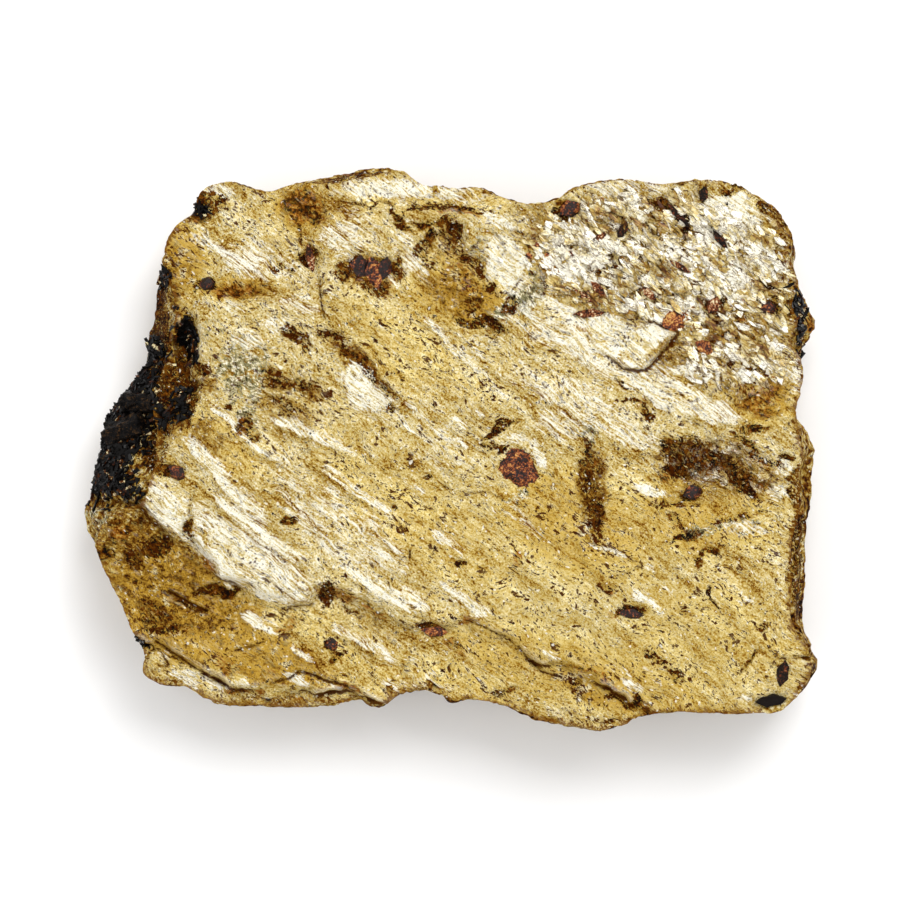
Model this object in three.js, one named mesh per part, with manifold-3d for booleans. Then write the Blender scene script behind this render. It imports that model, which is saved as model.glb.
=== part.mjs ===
// A hand-sized slab of golden mica, the flaky kind that splits into sheets, with garnets and black
// prisms grown into it. It is one piece of stone, so it is one solid: a layered block lying flat on its
// underside, with its best face up. The face has the raised sheets with ragged edges, the long slanting
// folds, the pits and cracks, and the crystals that stand out of it, and the broken sides step in and
// out where one sheet of mica ends above the next.
// Millimetres, +Z up. The origin is the middle of the underside's footprint.
import * as THREE from "three";
import { ConvexGeometry } from "three/addons/geometries/ConvexGeometry.js";
import { mergeVertices } from "three/addons/utils/BufferGeometryUtils.js";
import Module from "manifold-3d";

const wasm = await Module();
wasm.setup();

// Driving sizes
const FACE_LEVEL = 19.2; // the lowest sheet of the face, above the surface that the slab lies on
const GIRDLE = 0.44; // how far down the sides the slab is widest, as a share of its height there
const RIM_INSET = 0.9; // how far the face's edge stays inside the widest outline
const FOOT_INSET = 3.4; // how far the flat underside stays inside the widest outline
const SHEET_BOTTOMS = [0.14, 0.3, 0.42, 0.62, 0.8, 1]; // where the beds of sheets end on the sides, as such shares
const WIDEST_BED = 3; // the bed that reaches the widest outline
const BED_STEP = 1.7; // how far the other beds stay back from it at most
const BED_LEDGE = 0.045; // the share of the height that a step between two beds takes
const BED_BLOCKS = 46; // stretches of the sides over which a bed keeps its step
const GRID_STEPS = 128; // steps of the finest grid across the face, a power of two
const FLATNESS = 0.24; // how far a facet of the face may miss the true surface

// The widest outline seen from above, clockwise, one list for each side, starting at its first corner
const TOP_SIDE = [
  [-41.3, 41.2], [-39.6, 42.8], [-35.6, 43.8], [-32, 42.8], [-29, 42.3], [-25, 43.6], [-20, 44.6],
  [-16, 45.3], [-12, 46.1], [-8, 45.6], [-4.6, 43.4], [0, 42.9], [5, 42.8], [9, 41.1], [13, 40.1],
  [17, 41], [20, 42.7], [25, 44], [30, 44], [34, 43.4], [39, 43.9], [44.5, 43.7], [48.5, 42.2],
];
const RIGHT_SIDE = [
  [52.2, 40.2], [54.8, 37], [56.2, 33.5], [56.2, 29.5], [57.2, 26], [58.6, 23], [59.6, 20.3],
  [58.4, 18], [57.3, 15.6], [57.4, 12], [57, 9], [56.4, 6], [57.9, 3.4], [59.5, -0.5], [59, -4],
  [58.8, -9], [58.1, -13], [58, -18], [58, -22], [57.7, -27], [58, -29.8], [59.2, -32.6], [59.9, -35.6],
];
const BOTTOM_SIDE = [
  [57.8, -39], [55.2, -41.7], [52.5, -43.1], [47, -43.4], [41, -43.2], [35, -43.1], [31, -43.8],
  [27.8, -45.3], [25, -46.1], [20, -45.6], [15, -44.6], [11, -43.2], [7, -41.7], [3, -41.1],
  [0.2, -41.6], [-1.6, -40.3], [-4.5, -39.5], [-8, -40.2], [-11.8, -42.5], [-15, -41.3], [-19, -42],
  [-25, -42.4], [-31, -42.2], [-36.5, -42], [-40, -41], [-43.2, -39], [-46.5, -38.9],
];
const LEFT_SIDE = [
  [-50.2, -37], [-50.2, -34.2], [-50.6, -32], [-52.4, -29], [-53.2, -26.4], [-55.2, -22.8], [-56.8, -19],
  [-58.4, -15.4], [-59.9, -10.4], [-58.5, -7.4], [-57.9, -3.6], [-56.8, 0.5], [-56.4, 4.2],
  [-54.6, 7.4], [-51.6, 11.4], [-49.6, 14.6], [-49.5, 17.8], [-48.3, 22], [-47.9, 26], [-47.3, 30],
  [-45.9, 34.8], [-43.4, 37], [-41.8, 38.6],
];

// Where the edge of the face is broken back further: the middle of the break on the outline, how far
// the break runs to each side, and how deep it goes
const BREAKS = {
  black_shoulder: { at: [-57, 0], reach: 12, inset: 9 },
  brown_slope: { at: [-48.6, 20], reach: 8, inset: 3.2 },
  right_knob: { at: [58.8, 20.6], reach: 5.5, inset: 2.8 },
  right_strip: { at: [59.3, -2.5], reach: 7, inset: 2 },
  right_slope: { at: [58, -20], reach: 11, inset: 2.4 },
  top_right_corner: { at: [55, 36.5], reach: 7, inset: 1.4 },
  top_ledge: { at: [-16, 45.4], reach: 6.5, inset: 1.2 },
  bottom_right_corner: { at: [58.6, -37], reach: 4.5, inset: 1 },
};

// Sheets that lie on the face: their outlines run well past the slab where its edge ends them
const MAIN_SHEET = {
  rise: 2,
  edge: 1.3,
  outline: [
    [12, 40.8], [4, 39.3], [-3, 39], [-9, 39.4], [-15, 38.8], [-19.3, 38.3], [-21, 36.2], [-21.6, 33],
    [-21, 30], [-20.8, 27], [-24, 25.5], [-29, 24.6], [-33, 24.4], [-37, 25], [-40, 24.6], [-41.6, 22.3],
    [-42, 19], [-41, 15], [-40.8, 10.5], [-41.2, 6], [-44.8, 4.8], [-45.4, 0.5], [-48, -2.4], [-51.2, -4],
    [-51.4, -7], [-50, -9.4], [-46, -12.8], [-43.2, -14.8], [-40, -16.8], [-37, -20.2], [-33.5, -21.6],
    [-30.5, -23.6], [-27, -24.9], [-22.8, -24.8], [-21.5, -22.6], [-17.5, -22.6], [-13.6, -24.4],
    [-10.6, -27], [-7, -28], [-3.5, -28.2], [2, -27.6], [5, -29.3], [9.4, -30.6], [11.6, -32.8],
    [14.6, -34.4], [18.4, -34.6], [21.4, -36.2], [25, -38.2], [29, -40.6], [32, -43], [33, -60],
    [75, -60], [75, 60], [14, 60],
  ],
};
const LOWER_SHEET = {
  rise: 2.4,
  edge: 1.2,
  outline: [
    [-60, -29], [-52.5, -29.6], [-48.4, -31.2], [-45, -32], [-42.2, -34], [-39, -36.6], [-35.6, -38.6],
    [-31, -39], [-27, -38.5], [-22, -38.9], [-16.5, -38.6], [-12.5, -40.2], [-9.5, -41.6], [-8, -60],
    [80, -60], [80, 60], [-80, 60], [-80, -29],
  ],
};
const FLAKY_SHEET = {
  rise: 0.7,
  edge: 1.1,
  outline: [
    [39.6, 50], [39.4, 41.5], [38.6, 38.2], [40.4, 36], [44, 34.8], [47.6, 33.2], [51, 32.4], [54, 33],
    [70, 34], [70, 50],
  ],
};
const SILVER_TONGUE = {
  rise: 0.5,
  edge: 1.1,
  outline: [
    [-51, -4.2], [-47, -4], [-43, -7], [-41.8, -9.8], [-42.3, -13], [-46, -12.6], [-50, -9.2],
  ],
};
const SHEETS = [MAIN_SHEET, LOWER_SHEET, FLAKY_SHEET, SILVER_TONGUE];

// Flakes that peel up towards one side: a flake is flush at its root and stands its lift at its lip
const LIFTED_FLAKES = {
  silver_plate: {
    lift: 1.1, root: [24, 24], lip: [33.5, 14],
    outline: [
      [17, 24], [23, 23], [28, 21.5], [32, 20], [36.3, 18.3], [34, 15.5], [31, 12.9], [27.5, 13.2],
      [25.5, 15], [22, 16.5], [18, 19.5],
    ],
  },
  lens_flake: {
    lift: 0.6, root: [23, -21], lip: [26, -15.8],
    outline: [[20.2, -14.8], [24, -15.4], [27.5, -16.8], [30.4, -18.6], [27, -20.2], [22, -19.6]],
  },
  corner_flake: {
    lift: 0.8, root: [49, 26.5], lip: [51, 30.6],
    outline: [[46.6, 28.4], [48.4, 30.8], [52.8, 30], [53.2, 27.6], [49.6, 26.6]],
  },
  upper_flake: {
    lift: 0.7, root: [6, 36], lip: [9.5, 27],
    outline: [[4.6, 35], [11.5, 34.5], [12.6, 30], [9.4, 24.6], [7.4, 25.4], [5.2, 30]],
  },
};

// Crests of the folds, from their upper left ends: the side towards the upper right slopes over the
// whole width and the other side drops in a third of it
const FOLDS = [
  { height: 0.55, width: 1.2, crest: [[-41, 9], [-38, 6], [-34.5, 2.8], [-30.5, -0.2], [-26.5, -2.6], [-22.5, -5]] },
  { height: 0.9, width: 1.9, crest: [[-44.3, 3.2], [-41, -0.6], [-38, -3.6], [-34.6, -7.6], [-31, -11], [-27, -13.8]] },
  { height: 0.9, width: 1.7, crest: [[-40, -5.4], [-36.5, -9], [-33, -12], [-29, -15.2], [-25, -17.6], [-21, -20]] },
  { height: 1, width: 2.6, crest: [[-40.6, -10.8], [-37, -14], [-33, -17], [-28.4, -20], [-24.4, -22.6], [-22.2, -24]] },
  { height: 0.5, width: 1.4, crest: [[-40, -14.2], [-36.5, -18.2], [-32.6, -21], [-28.6, -22.8], [-25, -24.4]] },
  { height: 0.7, width: 1.9, crest: [[-50, -6], [-46.8, -8.4], [-43.2, -11]] },
  { height: 0.65, width: 1.5, crest: [[-30.5, 5.2], [-26, 3.6], [-21.5, 1.6], [-17.4, -0.2], [-13, -2.2]] },
  { height: 0.6, width: 1.4, crest: [[-21.6, -2], [-18.4, -5], [-14.6, -7.6], [-11, -10], [-7, -12.8]] },
  { height: 0.45, width: 1.2, crest: [[-30, -3], [-26.5, -5.5], [-23, -7.5], [-19.5, -10.8], [-16.5, -12.8]] },
  { height: 0.8, width: 1.8, crest: [[-19.5, -17.6], [-15, -20.6], [-11, -23.4], [-7, -26], [-3.4, -27.2]] },
  { height: 0.5, width: 1.2, crest: [[-12.6, -16], [-9.4, -18.8], [-6, -21.6]] },
  { height: 0.6, width: 1.4, crest: [[-9.4, -22], [-5.8, -24.8], [-2.6, -26.8]] },
  { height: 0.45, width: 1.3, crest: [[-4, -13], [-0.4, -15.4], [4, -18.2]] },
  { height: 0.6, width: 1.6, crest: [[-2.4, -20.8], [1.6, -24.2], [5.2, -26.4]] },
  { height: 0.5, width: 1.1, crest: [[-6, 22], [-3, 19.4], [0, 16.2], [3, 13.8], [5.6, 11.6], [8.2, 10.2]] },
  { height: 0.7, width: 2.6, crest: [[-16, 11.6], [-13, 8.8], [-10.4, 5.4]] },
  { height: 0.6, width: 1.5, crest: [[-34.5, -26], [-31, -28.6], [-27, -30.2]] },
  { height: 0.6, width: 1.5, crest: [[-20.6, -28], [-17, -29.8], [-13.4, -32], [-10.4, -34]] },
  { height: 0.5, width: 1.2, crest: [[-26.4, -31.6], [-23.8, -33.6], [-21.4, -35]] },
  { height: 0.5, width: 1.3, crest: [[28, -22.6], [31, -24.4], [35.4, -27.8]] },
  { height: 0.9, width: 2.4, crest: [[28.6, 11.4], [33, 8.4], [38, 5.6], [43, 4.4]] },
  { height: 0.6, width: 2, crest: [[19, 6], [24, 3], [29, -0.4]] },
];

// Cracks along the sheets
const CRACKS = [
  { depth: 0.7, width: 0.5, line: [[-45.2, -23], [-42.5, -24.6], [-39.3, -26.1]] },
  { depth: 0.6, width: 0.5, line: [[-47.5, -31], [-44, -33.4], [-41, -35.4], [-38.6, -36.6], [-36.4, -38]] },
  { depth: 0.6, width: 0.5, line: [[-28, -37.4], [-26, -37], [-24.4, -35.8], [-22.5, -36.2], [-19.8, -37.4], [-16.8, -38]] },
  { depth: 0.5, width: 0.5, line: [[10.9, -31.7], [12.2, -33.4], [14.6, -35.8], [17.8, -36.7]] },
  { depth: 0.6, width: 0.6, line: [[-21, 27], [-20.8, 24], [-20.2, 21]] },
  { depth: 0.8, width: 1.2, line: [[-19.6, 18.4], [-16, 15], [-12, 11], [-9, 7.6]] },
  { depth: 0.6, width: 0.6, line: [[-27, 18.4], [-25, 18], [-23, 17.6], [-22.2, 16.4]] },
];

// Hollows and broad swells: half lengths along and across, and the turn of the long one from +X
const HOLLOWS = [
  { at: [-42.7, 17.2], half: [3.8, 1.5], turn: 80, depth: 3.2 },
  { at: [10.9, -2.9], half: [4.4, 3.8], turn: 100, depth: 1 },
  { at: [-14.6, 30], half: [4.2, 2.6], turn: 20, depth: 0.7 },
  { at: [-45.5, 12], half: [6, 3], turn: 60, depth: 1.6 },
  { at: [-40, 38.6], half: [1.6, 1.4], turn: 0, depth: 1.4 },
  { at: [51.8, -40.6], half: [2.6, 1.2], turn: 5, depth: 1.8 },
  { at: [-37, -22.8], half: [3.8, 1.3], turn: 8, depth: 0.9 },
  { at: [0.4, 35], half: [1.5, 1], turn: -40, depth: 0.9 },
  { at: [6.6, 20], half: [2.4, 1.1], turn: -35, depth: 0.9 },
  { at: [-41.8, -12.8], half: [2.2, 0.9], turn: 100, depth: 0.8 },
  { at: [-22.6, 30.6], half: [2.6, 1.1], turn: 100, depth: 0.8 },
  { at: [42, -3], half: [11, 4.5], turn: -14, depth: 0.9 },
  { at: [1, 27], half: [7, 5], turn: -50, depth: 0.7 },
  { at: [22.5, -8], half: [7, 2.4], turn: 95, depth: 0.4 },
  { at: [-47, -22], half: [8, 6], turn: 20, depth: 0.9 },
  { at: [-34, 12], half: [5, 3], turn: 100, depth: 0.6 },
];
const SWELLS = [
  { at: [0, 0], half: [62, 46], turn: 0, rise: 1.3 },
  { at: [-28, -10], half: [20, 10], turn: -37, rise: 0.9 },
  { at: [30, -28], half: [24, 12], turn: -20, rise: 0.5 },
  { at: [-34, 34], half: [14, 7], turn: -20, rise: 0.8 },
];

// Garnets, as half widths along and across, a turn, and how far each stands out of the face
const GARNETS = {
  great: { at: [11.4, -3.5], half: [3.4, 2.7], turn: 100, proud: 1.2 },
  dark_left: { at: [-14.4, 29], half: [2.2, 1.5], turn: 80, proud: 0.8 },
  dark_middle: { at: [-12.2, 28], half: [2.2, 1.4], turn: 95, proud: 0.9 },
  dark_right: { at: [-10.8, 29.3], half: [1.5, 1.1], turn: 80, proud: 0.8 },
  orange: { at: [36, 20.6], half: [2.2, 2], turn: 20, proud: 0.7 },
  orange_small: { at: [40.7, 16.3], half: [1.6, 1.1], turn: -30, proud: 0.6 },
  corner_bead: { at: [-39.1, 26.4], half: [1.3, 1.2], turn: 0, proud: 0.8 },
  shoulder_bead: { at: [-43.8, -3.8], half: [1.6, 1.2], turn: -40, proud: 0.8 },
  lower_bead: { at: [-19, -31.4], half: [1.1, 1], turn: 10, proud: 0.5 },
  right_bead: { at: [51, 22.6], half: [1.4, 1.1], turn: 10, proud: 0.6 },
  upper_bead: { at: [19.2, 38.5], half: [1.7, 1.4], turn: 30, proud: 0.6 },
  dark_eye: { at: [28.8, -26.4], half: [2.6, 1], turn: -6, proud: 0.5 },
  lower_eye: { at: [-2.8, -28.9], half: [2, 0.9], turn: -8, proud: 0.5 },
  dark_bead: { at: [38.8, -7], half: [1.5, 1.2], turn: 20, proud: 0.6 },
};

// Blades of brown mica that stand edge on or lie in the face, mostly in its flaky upper right
const BLADES = {
  red_long: { at: [22.2, 21.7], half: [2.6, 0.75], turn: 2, proud: 0.5 },
  red_short: { at: [23.7, 25.6], half: [1.9, 0.7], turn: -48, proud: 0.5 },
  brown_near: { at: [21.2, 24.6], half: [2, 0.6], turn: -38, proud: 0.4 },
  red_high: { at: [23.9, 33.9], half: [1.5, 0.6], turn: 38, proud: 0.4 },
  grey: { at: [26, 29.2], half: [2.5, 1.1], turn: 30, proud: 0.5 },
  dark_curl: { at: [27.6, 35], half: [1.7, 0.8], turn: 60, proud: 0.4 },
  dark_red: { at: [31.8, 24.9], half: [1.6, 0.7], turn: -45, proud: 0.5 },
  thin: { at: [36.8, 29.2], half: [2, 0.5], turn: -32, proud: 0.4 },
  long_dark: { at: [36.6, 37.4], half: [2.8, 0.6], turn: -48, proud: 0.5 },
  dark_right: { at: [43.2, 33.6], half: [1.9, 0.6], turn: -52, proud: 0.5 },
  dark_knot: { at: [42.2, 23], half: [1.6, 1.1], turn: 60, proud: 0.5 },
  rim_black: { at: [40.6, 40.8], half: [1.3, 0.8], turn: 80, proud: 0.4 },
  upper_left: { at: [-22.5, 30.6], half: [2.4, 0.8], turn: 100, proud: 0.7 },
  corner: { at: [53.3, -36], half: [1.4, 0.8], turn: 76, proud: 0.5 },
};

// Black six-sided prisms that lie on the broken left shoulder, from one end to the other
const BLACK_PRISMS = {
  lower: { from: [-57, -5.9, 13.2], to: [-50.6, -5.2, 17.2], radius: 1.8 },
  middle: { from: [-55.6, 2.2, 13.4], to: [-49.6, 4.2, 17.4], radius: 2.1 },
  upper: { from: [-53.2, 7.6, 14.2], to: [-47.6, 7.2, 17.6], radius: 1.7 },
  steep: { from: [-56.6, -1.9, 13], to: [-52.2, -1.1, 16.4], radius: 1.4 },
};

// Places on the underside where the lowest sheets have split away: depth and outline
const LOST_SHEETS = {
  wide: { depth: 0.9, outline: [[-30, 60], [-26, 30], [-14, 24], [-4, 28], [4, 22], [14, 26], [22, 60]] },
  left: { depth: 1.3, outline: [[-70, -8], [-40, -4], [-30, -12], [-34, -22], [-44, -26], [-70, -30]] },
  right: { depth: 0.7, outline: [[70, 4], [44, 6], [34, -2], [38, -14], [50, -16], [70, -12]] },
};

const smooth = (t) => {
  const c = Math.min(Math.max(t, 0), 1);
  return c * c * (3 - 2 * c);
};

// The outline as one closed smooth curve, sampled evenly along each side
function sampleSides(sides, steps) {
  const points = sides.flat().map(([x, y]) => new THREE.Vector3(x, y, 0));
  const curve = new THREE.CatmullRomCurve3(points, true, "catmullrom", 0.5);
  const perSpan = 24;
  const ring = [];
  let first = 0;
  for (const side of sides) {
    const fine = [];
    for (let i = 0; i <= side.length * perSpan; i++) {
      const t = (first + i / perSpan) / points.length;
      fine.push(curve.getPoint(Math.min(t, 1)));
    }
    const along = [0];
    for (let i = 1; i < fine.length; i++) along.push(along[i - 1] + fine[i].distanceTo(fine[i - 1]));
    let k = 0;
    for (let i = 0; i < steps; i++) {
      const wanted = (along[along.length - 1] * i) / steps;
      while (along[k + 1] < wanted) k++;
      ring.push(fine[k].clone().lerp(fine[k + 1], (wanted - along[k]) / (along[k + 1] - along[k])));
    }
    first += side.length;
  }
  return ring;
}

// The direction into the slab at each place on the ring, averaged over a stretch so that it turns gently
function inwardDirections(ring) {
  const span = 9;
  return ring.map((p, i) => {
    const before = ring[(i - span + ring.length) % ring.length];
    const after = ring[(i + span) % ring.length];
    const run = after.clone().sub(before).normalize();
    return new THREE.Vector3(run.y, -run.x, 0);
  });
}

function rimInset(p) {
  let inset = RIM_INSET;
  for (const b of Object.values(BREAKS)) {
    const d = Math.hypot(p.x - b.at[0], p.y - b.at[1]) / b.reach;
    inset += b.inset * Math.exp(-(d ** 4));
  }
  return inset;
}

// The place on a line nearest to x, y: how far away, on which side and how far along
function nearestOnLine(line, x, y) {
  let best = { distance: Infinity, side: 1, along: 0, length: 0 };
  let run = 0;
  for (let i = 0; i + 1 < line.length; i++) {
    const [ax, ay] = line[i];
    const [bx, by] = line[i + 1];
    const length = Math.hypot(bx - ax, by - ay);
    const t = Math.min(Math.max(((x - ax) * (bx - ax) + (y - ay) * (by - ay)) / length ** 2, 0), 1);
    const distance = Math.hypot(x - ax - t * (bx - ax), y - ay - t * (by - ay));
    if (distance < best.distance) {
      const side = (bx - ax) * (y - ay) - (by - ay) * (x - ax) >= 0 ? 1 : -1;
      best = { distance, side, along: run + t * length, length: 0 };
    }
    run += length;
  }
  best.length = run;
  return best;
}

// How far x, y is inside an outline: negative outside
function depthInside(outline, x, y) {
  let inside = false;
  for (let i = 0, j = outline.length - 1; i < outline.length; j = i++) {
    const [ax, ay] = outline[i];
    const [bx, by] = outline[j];
    if (ay > y !== by > y && x < ((bx - ax) * (y - ay)) / (by - ay) + ax) inside = !inside;
  }
  const { distance } = nearestOnLine([...outline, outline[0]], x, y);
  return inside ? distance : -distance;
}

function mound({ at, half, turn }, x, y) {
  const a = THREE.MathUtils.degToRad(turn);
  const dx = x - at[0];
  const dy = y - at[1];
  const along = (dx * Math.cos(a) + dy * Math.sin(a)) / half[0];
  const across = (dy * Math.cos(a) - dx * Math.sin(a)) / half[1];
  return Math.exp(-(along ** 2 + across ** 2));
}

function foldHeight({ crest, height, width }, x, y) {
  const near = nearestOnLine(crest, x, y);
  if (near.distance > 3 * width) return 0;
  const reach = near.side > 0 ? width : width / 3;
  const ends = smooth(near.along / (0.25 * near.length)) * smooth((near.length - near.along) / (0.25 * near.length));
  return height * ends * Math.exp(-((near.distance / reach) ** 2));
}

function flakeHeight({ lift, root, lip, outline }, x, y) {
  const inside = depthInside(outline, x, y);
  if (inside < -0.5) return 0;
  const ax = lip[0] - root[0];
  const ay = lip[1] - root[1];
  const climb = ((x - root[0]) * ax + (y - root[1]) * ay) / (ax ** 2 + ay ** 2);
  return lift * smooth(climb) * smooth(inside / 0.5 + 0.5);
}

function faceHeight(x, y) {
  let z = FACE_LEVEL;
  for (const swell of SWELLS) z += swell.rise * mound(swell, x, y);
  for (const sheet of SHEETS) z += sheet.rise * smooth(depthInside(sheet.outline, x, y) / sheet.edge + 0.5);
  for (const flake of Object.values(LIFTED_FLAKES)) z += flakeHeight(flake, x, y);
  for (const fold of FOLDS) z += foldHeight(fold, x, y);
  for (const crack of CRACKS) {
    z -= crack.depth * Math.exp(-((nearestOnLine(crack.line, x, y).distance / crack.width) ** 2));
  }
  for (const hollow of HOLLOWS) z -= hollow.depth * mound(hollow, x, y);
  return z;
}

// The face: a fine square grid stretched over the rim, of which only the points that the relief needs
// are kept, as right triangles that halve where they miss the surface by more than FLATNESS
function buildFace(rim, outline) {
  const n = GRID_STEPS;
  const onTop = (i) => rim[i];
  const onRight = (j) => rim[n + (n - j)];
  const onBottom = (i) => rim[2 * n + (n - i)];
  const onLeft = (j) => rim[(3 * n + j) % (4 * n)];
  const points = [];
  for (let j = 0; j <= n; j++) {
    for (let i = 0; i <= n; i++) {
      const u = i / n;
      const v = j / n;
      const at = (axis) =>
        (1 - v) * onBottom(i)[axis] + v * onTop(i)[axis] + (1 - u) * onLeft(j)[axis] + u * onRight(j)[axis] -
        (1 - u) * (1 - v) * onBottom(0)[axis] - u * (1 - v) * onBottom(n)[axis] -
        (1 - u) * v * onTop(0)[axis] - u * v * onTop(n)[axis];
      points.push(new THREE.Vector3(at("x"), at("y"), faceHeight(at("x"), at("y"))));
    }
  }
  const index = (i, j) => j * (n + 1) + i;
  const onEdge = (i, j) => i === 0 || j === 0 || i === n || j === n;

  // How far the middle of a triangle's long side is from the surface. On the rim the outline counts too.
  const misses = new Float32Array(points.length);
  const ringIndex = (i, j) => (j === n ? i : i === n ? 2 * n - j : j === 0 ? 3 * n - i : (3 * n + j) % (4 * n));
  const missAt = (ai, aj, bi, bj) => {
    const mi = (ai + bi) / 2;
    const mj = (aj + bj) / 2;
    const middle = points[index(ai, aj)].clone().lerp(points[index(bi, bj)], 0.5);
    let miss = Math.abs(middle.z - points[index(mi, mj)].z);
    if (onEdge(mi, mj)) {
      const chord = outline[ringIndex(ai, aj)].clone().lerp(outline[ringIndex(bi, bj)], 0.5);
      miss = Math.max(miss, chord.distanceTo(outline[ringIndex(mi, mj)]));
    }
    return miss;
  };
  // Levels run from the smallest triangles to the two largest, so that a coarse split knows its finer ones
  const corners = [[0, 0, n, n, n, 0], [n, n, 0, 0, 0, n]];
  const levels = [corners];
  while (Math.abs(levels.at(-1)[0][0] - levels.at(-1)[0][4]) + Math.abs(levels.at(-1)[0][1] - levels.at(-1)[0][5]) > 1) {
    const next = [];
    for (const [ai, aj, bi, bj, ci, cj] of levels.at(-1)) {
      const mi = (ai + bi) / 2;
      const mj = (aj + bj) / 2;
      next.push([ci, cj, ai, aj, mi, mj], [bi, bj, ci, cj, mi, mj]);
    }
    levels.push(next);
  }
  for (let level = levels.length - 2; level >= 0; level--) {
    for (const [ai, aj, bi, bj, ci, cj] of levels[level]) {
      const middle = index((ai + bi) / 2, (aj + bj) / 2);
      let miss = missAt(ai, aj, bi, bj);
      if (level < levels.length - 2) {
        miss = Math.max(
          miss,
          misses[index((ai + ci) / 2, (aj + cj) / 2)],
          misses[index((bi + ci) / 2, (bj + cj) / 2)],
        );
      }
      misses[middle] = Math.max(misses[middle], miss);
    }
  }
  const triangles = [];
  const split = (level, [ai, aj, bi, bj, ci, cj]) => {
    const mi = (ai + bi) / 2;
    const mj = (aj + bj) / 2;
    if (level < levels.length - 1 && misses[index(mi, mj)] > FLATNESS) {
      split(level + 1, [ci, cj, ai, aj, mi, mj]);
      split(level + 1, [bi, bj, ci, cj, mi, mj]);
      return;
    }
    const turnsLeft = (bi - ai) * (cj - aj) - (bj - aj) * (ci - ai) > 0;
    const [a, b, c] = [index(ai, aj), index(bi, bj), index(ci, cj)];
    triangles.push(turnsLeft ? [a, b, c] : [a, c, b]);
  };
  for (const corner of corners) split(0, corner);

  // The grid point of each place on the ring, for the walls to start from
  const ringPoints = [];
  for (let k = 0; k < n; k++) ringPoints.push(index(k, n));
  for (let k = 0; k < n; k++) ringPoints.push(index(n, n - k));
  for (let k = 0; k < n; k++) ringPoints.push(index(n - k, 0));
  for (let k = 0; k < n; k++) ringPoints.push(index(0, k));
  const used = new Set(triangles.flat());
  const ringUsed = ringPoints.map((p, k) => [p, k]).filter(([p]) => used.has(p));
  return { points, triangles, ringUsed };
}

// A share from 0 to 1 that is settled for each bed and stretch of the sides, and changes quickly between them
function bedShare(bed, place) {
  const share = (block) => {
    const mixed = Math.sin((block % BED_BLOCKS) * 12.9898 + bed * 78.233) * 43758.5453;
    return mixed - Math.floor(mixed);
  };
  const at = (place * BED_BLOCKS) / (4 * GRID_STEPS);
  const block = Math.floor(at);
  return THREE.MathUtils.lerp(share(block), share(block + 1), smooth((at - block - 0.3) / 0.4));
}

// How far a bed's edge is inside the widest outline, a share t of the way down from the rim
function sideInset(t, bed, p, place) {
  const step = bed === WIDEST_BED ? 0 : BED_STEP * bedShare(bed, place);
  const above = rimInset(p) * (1 - smooth(t / GIRDLE));
  const below = FOOT_INSET * Math.max((t - GIRDLE) / (1 - GIRDLE), 0) ** 2;
  return above + step + below;
}

// The edges of the beds from the rim down: each bed but the lowest has its bottom edge and the next one's top edge
function bedEdges() {
  const edges = [];
  SHEET_BOTTOMS.forEach((t, bed) => {
    if (t === 1) {
      edges.push({ t, bed });
      return;
    }
    edges.push({ t: t - BED_LEDGE / 2, bed }, { t: t + BED_LEDGE / 2, bed: bed + 1 });
  });
  return edges;
}

function buildSlab() {
  const outline = sampleSides([TOP_SIDE, RIGHT_SIDE, BOTTOM_SIDE, LEFT_SIDE], GRID_STEPS);
  const inward = inwardDirections(outline);
  const rim = outline.map((p, i) => p.clone().addScaledVector(inward[i], rimInset(p)));
  const { points, triangles, ringUsed } = buildFace(rim, outline);
  const vertices = [...points];
  const faces = [...triangles];

  let upper = ringUsed.map(([point]) => point);
  for (const { t, bed } of bedEdges()) {
    const lower = ringUsed.map(([point, place]) => {
      const p = outline[place];
      const q = p.clone().addScaledVector(inward[place], sideInset(t, bed, p, place));
      q.z = points[point].z * (1 - t);
      return vertices.push(q) - 1;
    });
    upper.forEach((a, i) => {
      const next = (i + 1) % upper.length;
      faces.push([a, upper[next], lower[next]], [a, lower[next], lower[i]]);
    });
    upper = lower;
  }
  const foot = upper.map((v) => new THREE.Vector2(vertices[v].x, vertices[v].y));
  for (const [a, b, c] of THREE.ShapeUtils.triangulateShape(foot, [])) {
    const turnsLeft = foot[b].clone().sub(foot[a]).cross(foot[c].clone().sub(foot[a])) > 0;
    faces.push(turnsLeft ? [upper[a], upper[c], upper[b]] : [upper[a], upper[b], upper[c]]);
  }

  const geometry = new THREE.BufferGeometry();
  geometry.setAttribute("position", new THREE.Float32BufferAttribute(vertices.flatMap((v) => [v.x, v.y, v.z]), 3));
  geometry.setIndex(faces.flat());
  return geometry.toNonIndexed();
}

// A garnet crystal: twelve rhombic faces, sunk to just below its middle in the face of the slab
function buildGarnet({ at, half, turn, proud }) {
  const corners = [];
  for (const x of [-1, 1]) for (const y of [-1, 1]) for (const z of [-1, 1]) corners.push(new THREE.Vector3(x, y, z));
  for (const axis of ["x", "y", "z"]) {
    for (const way of [-2, 2]) corners.push(Object.assign(new THREE.Vector3(), { [axis]: way }));
  }
  const geometry = new ConvexGeometry(corners);
  geometry.rotateX(0.35).rotateY(0.3).scale(half[0] / 1.75, half[1] / 1.75, proud / 1.4);
  geometry.rotateZ(THREE.MathUtils.degToRad(turn));
  geometry.computeBoundingBox();
  return geometry.translate(at[0], at[1], faceHeight(...at) + proud - geometry.boundingBox.max.z);
}

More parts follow.
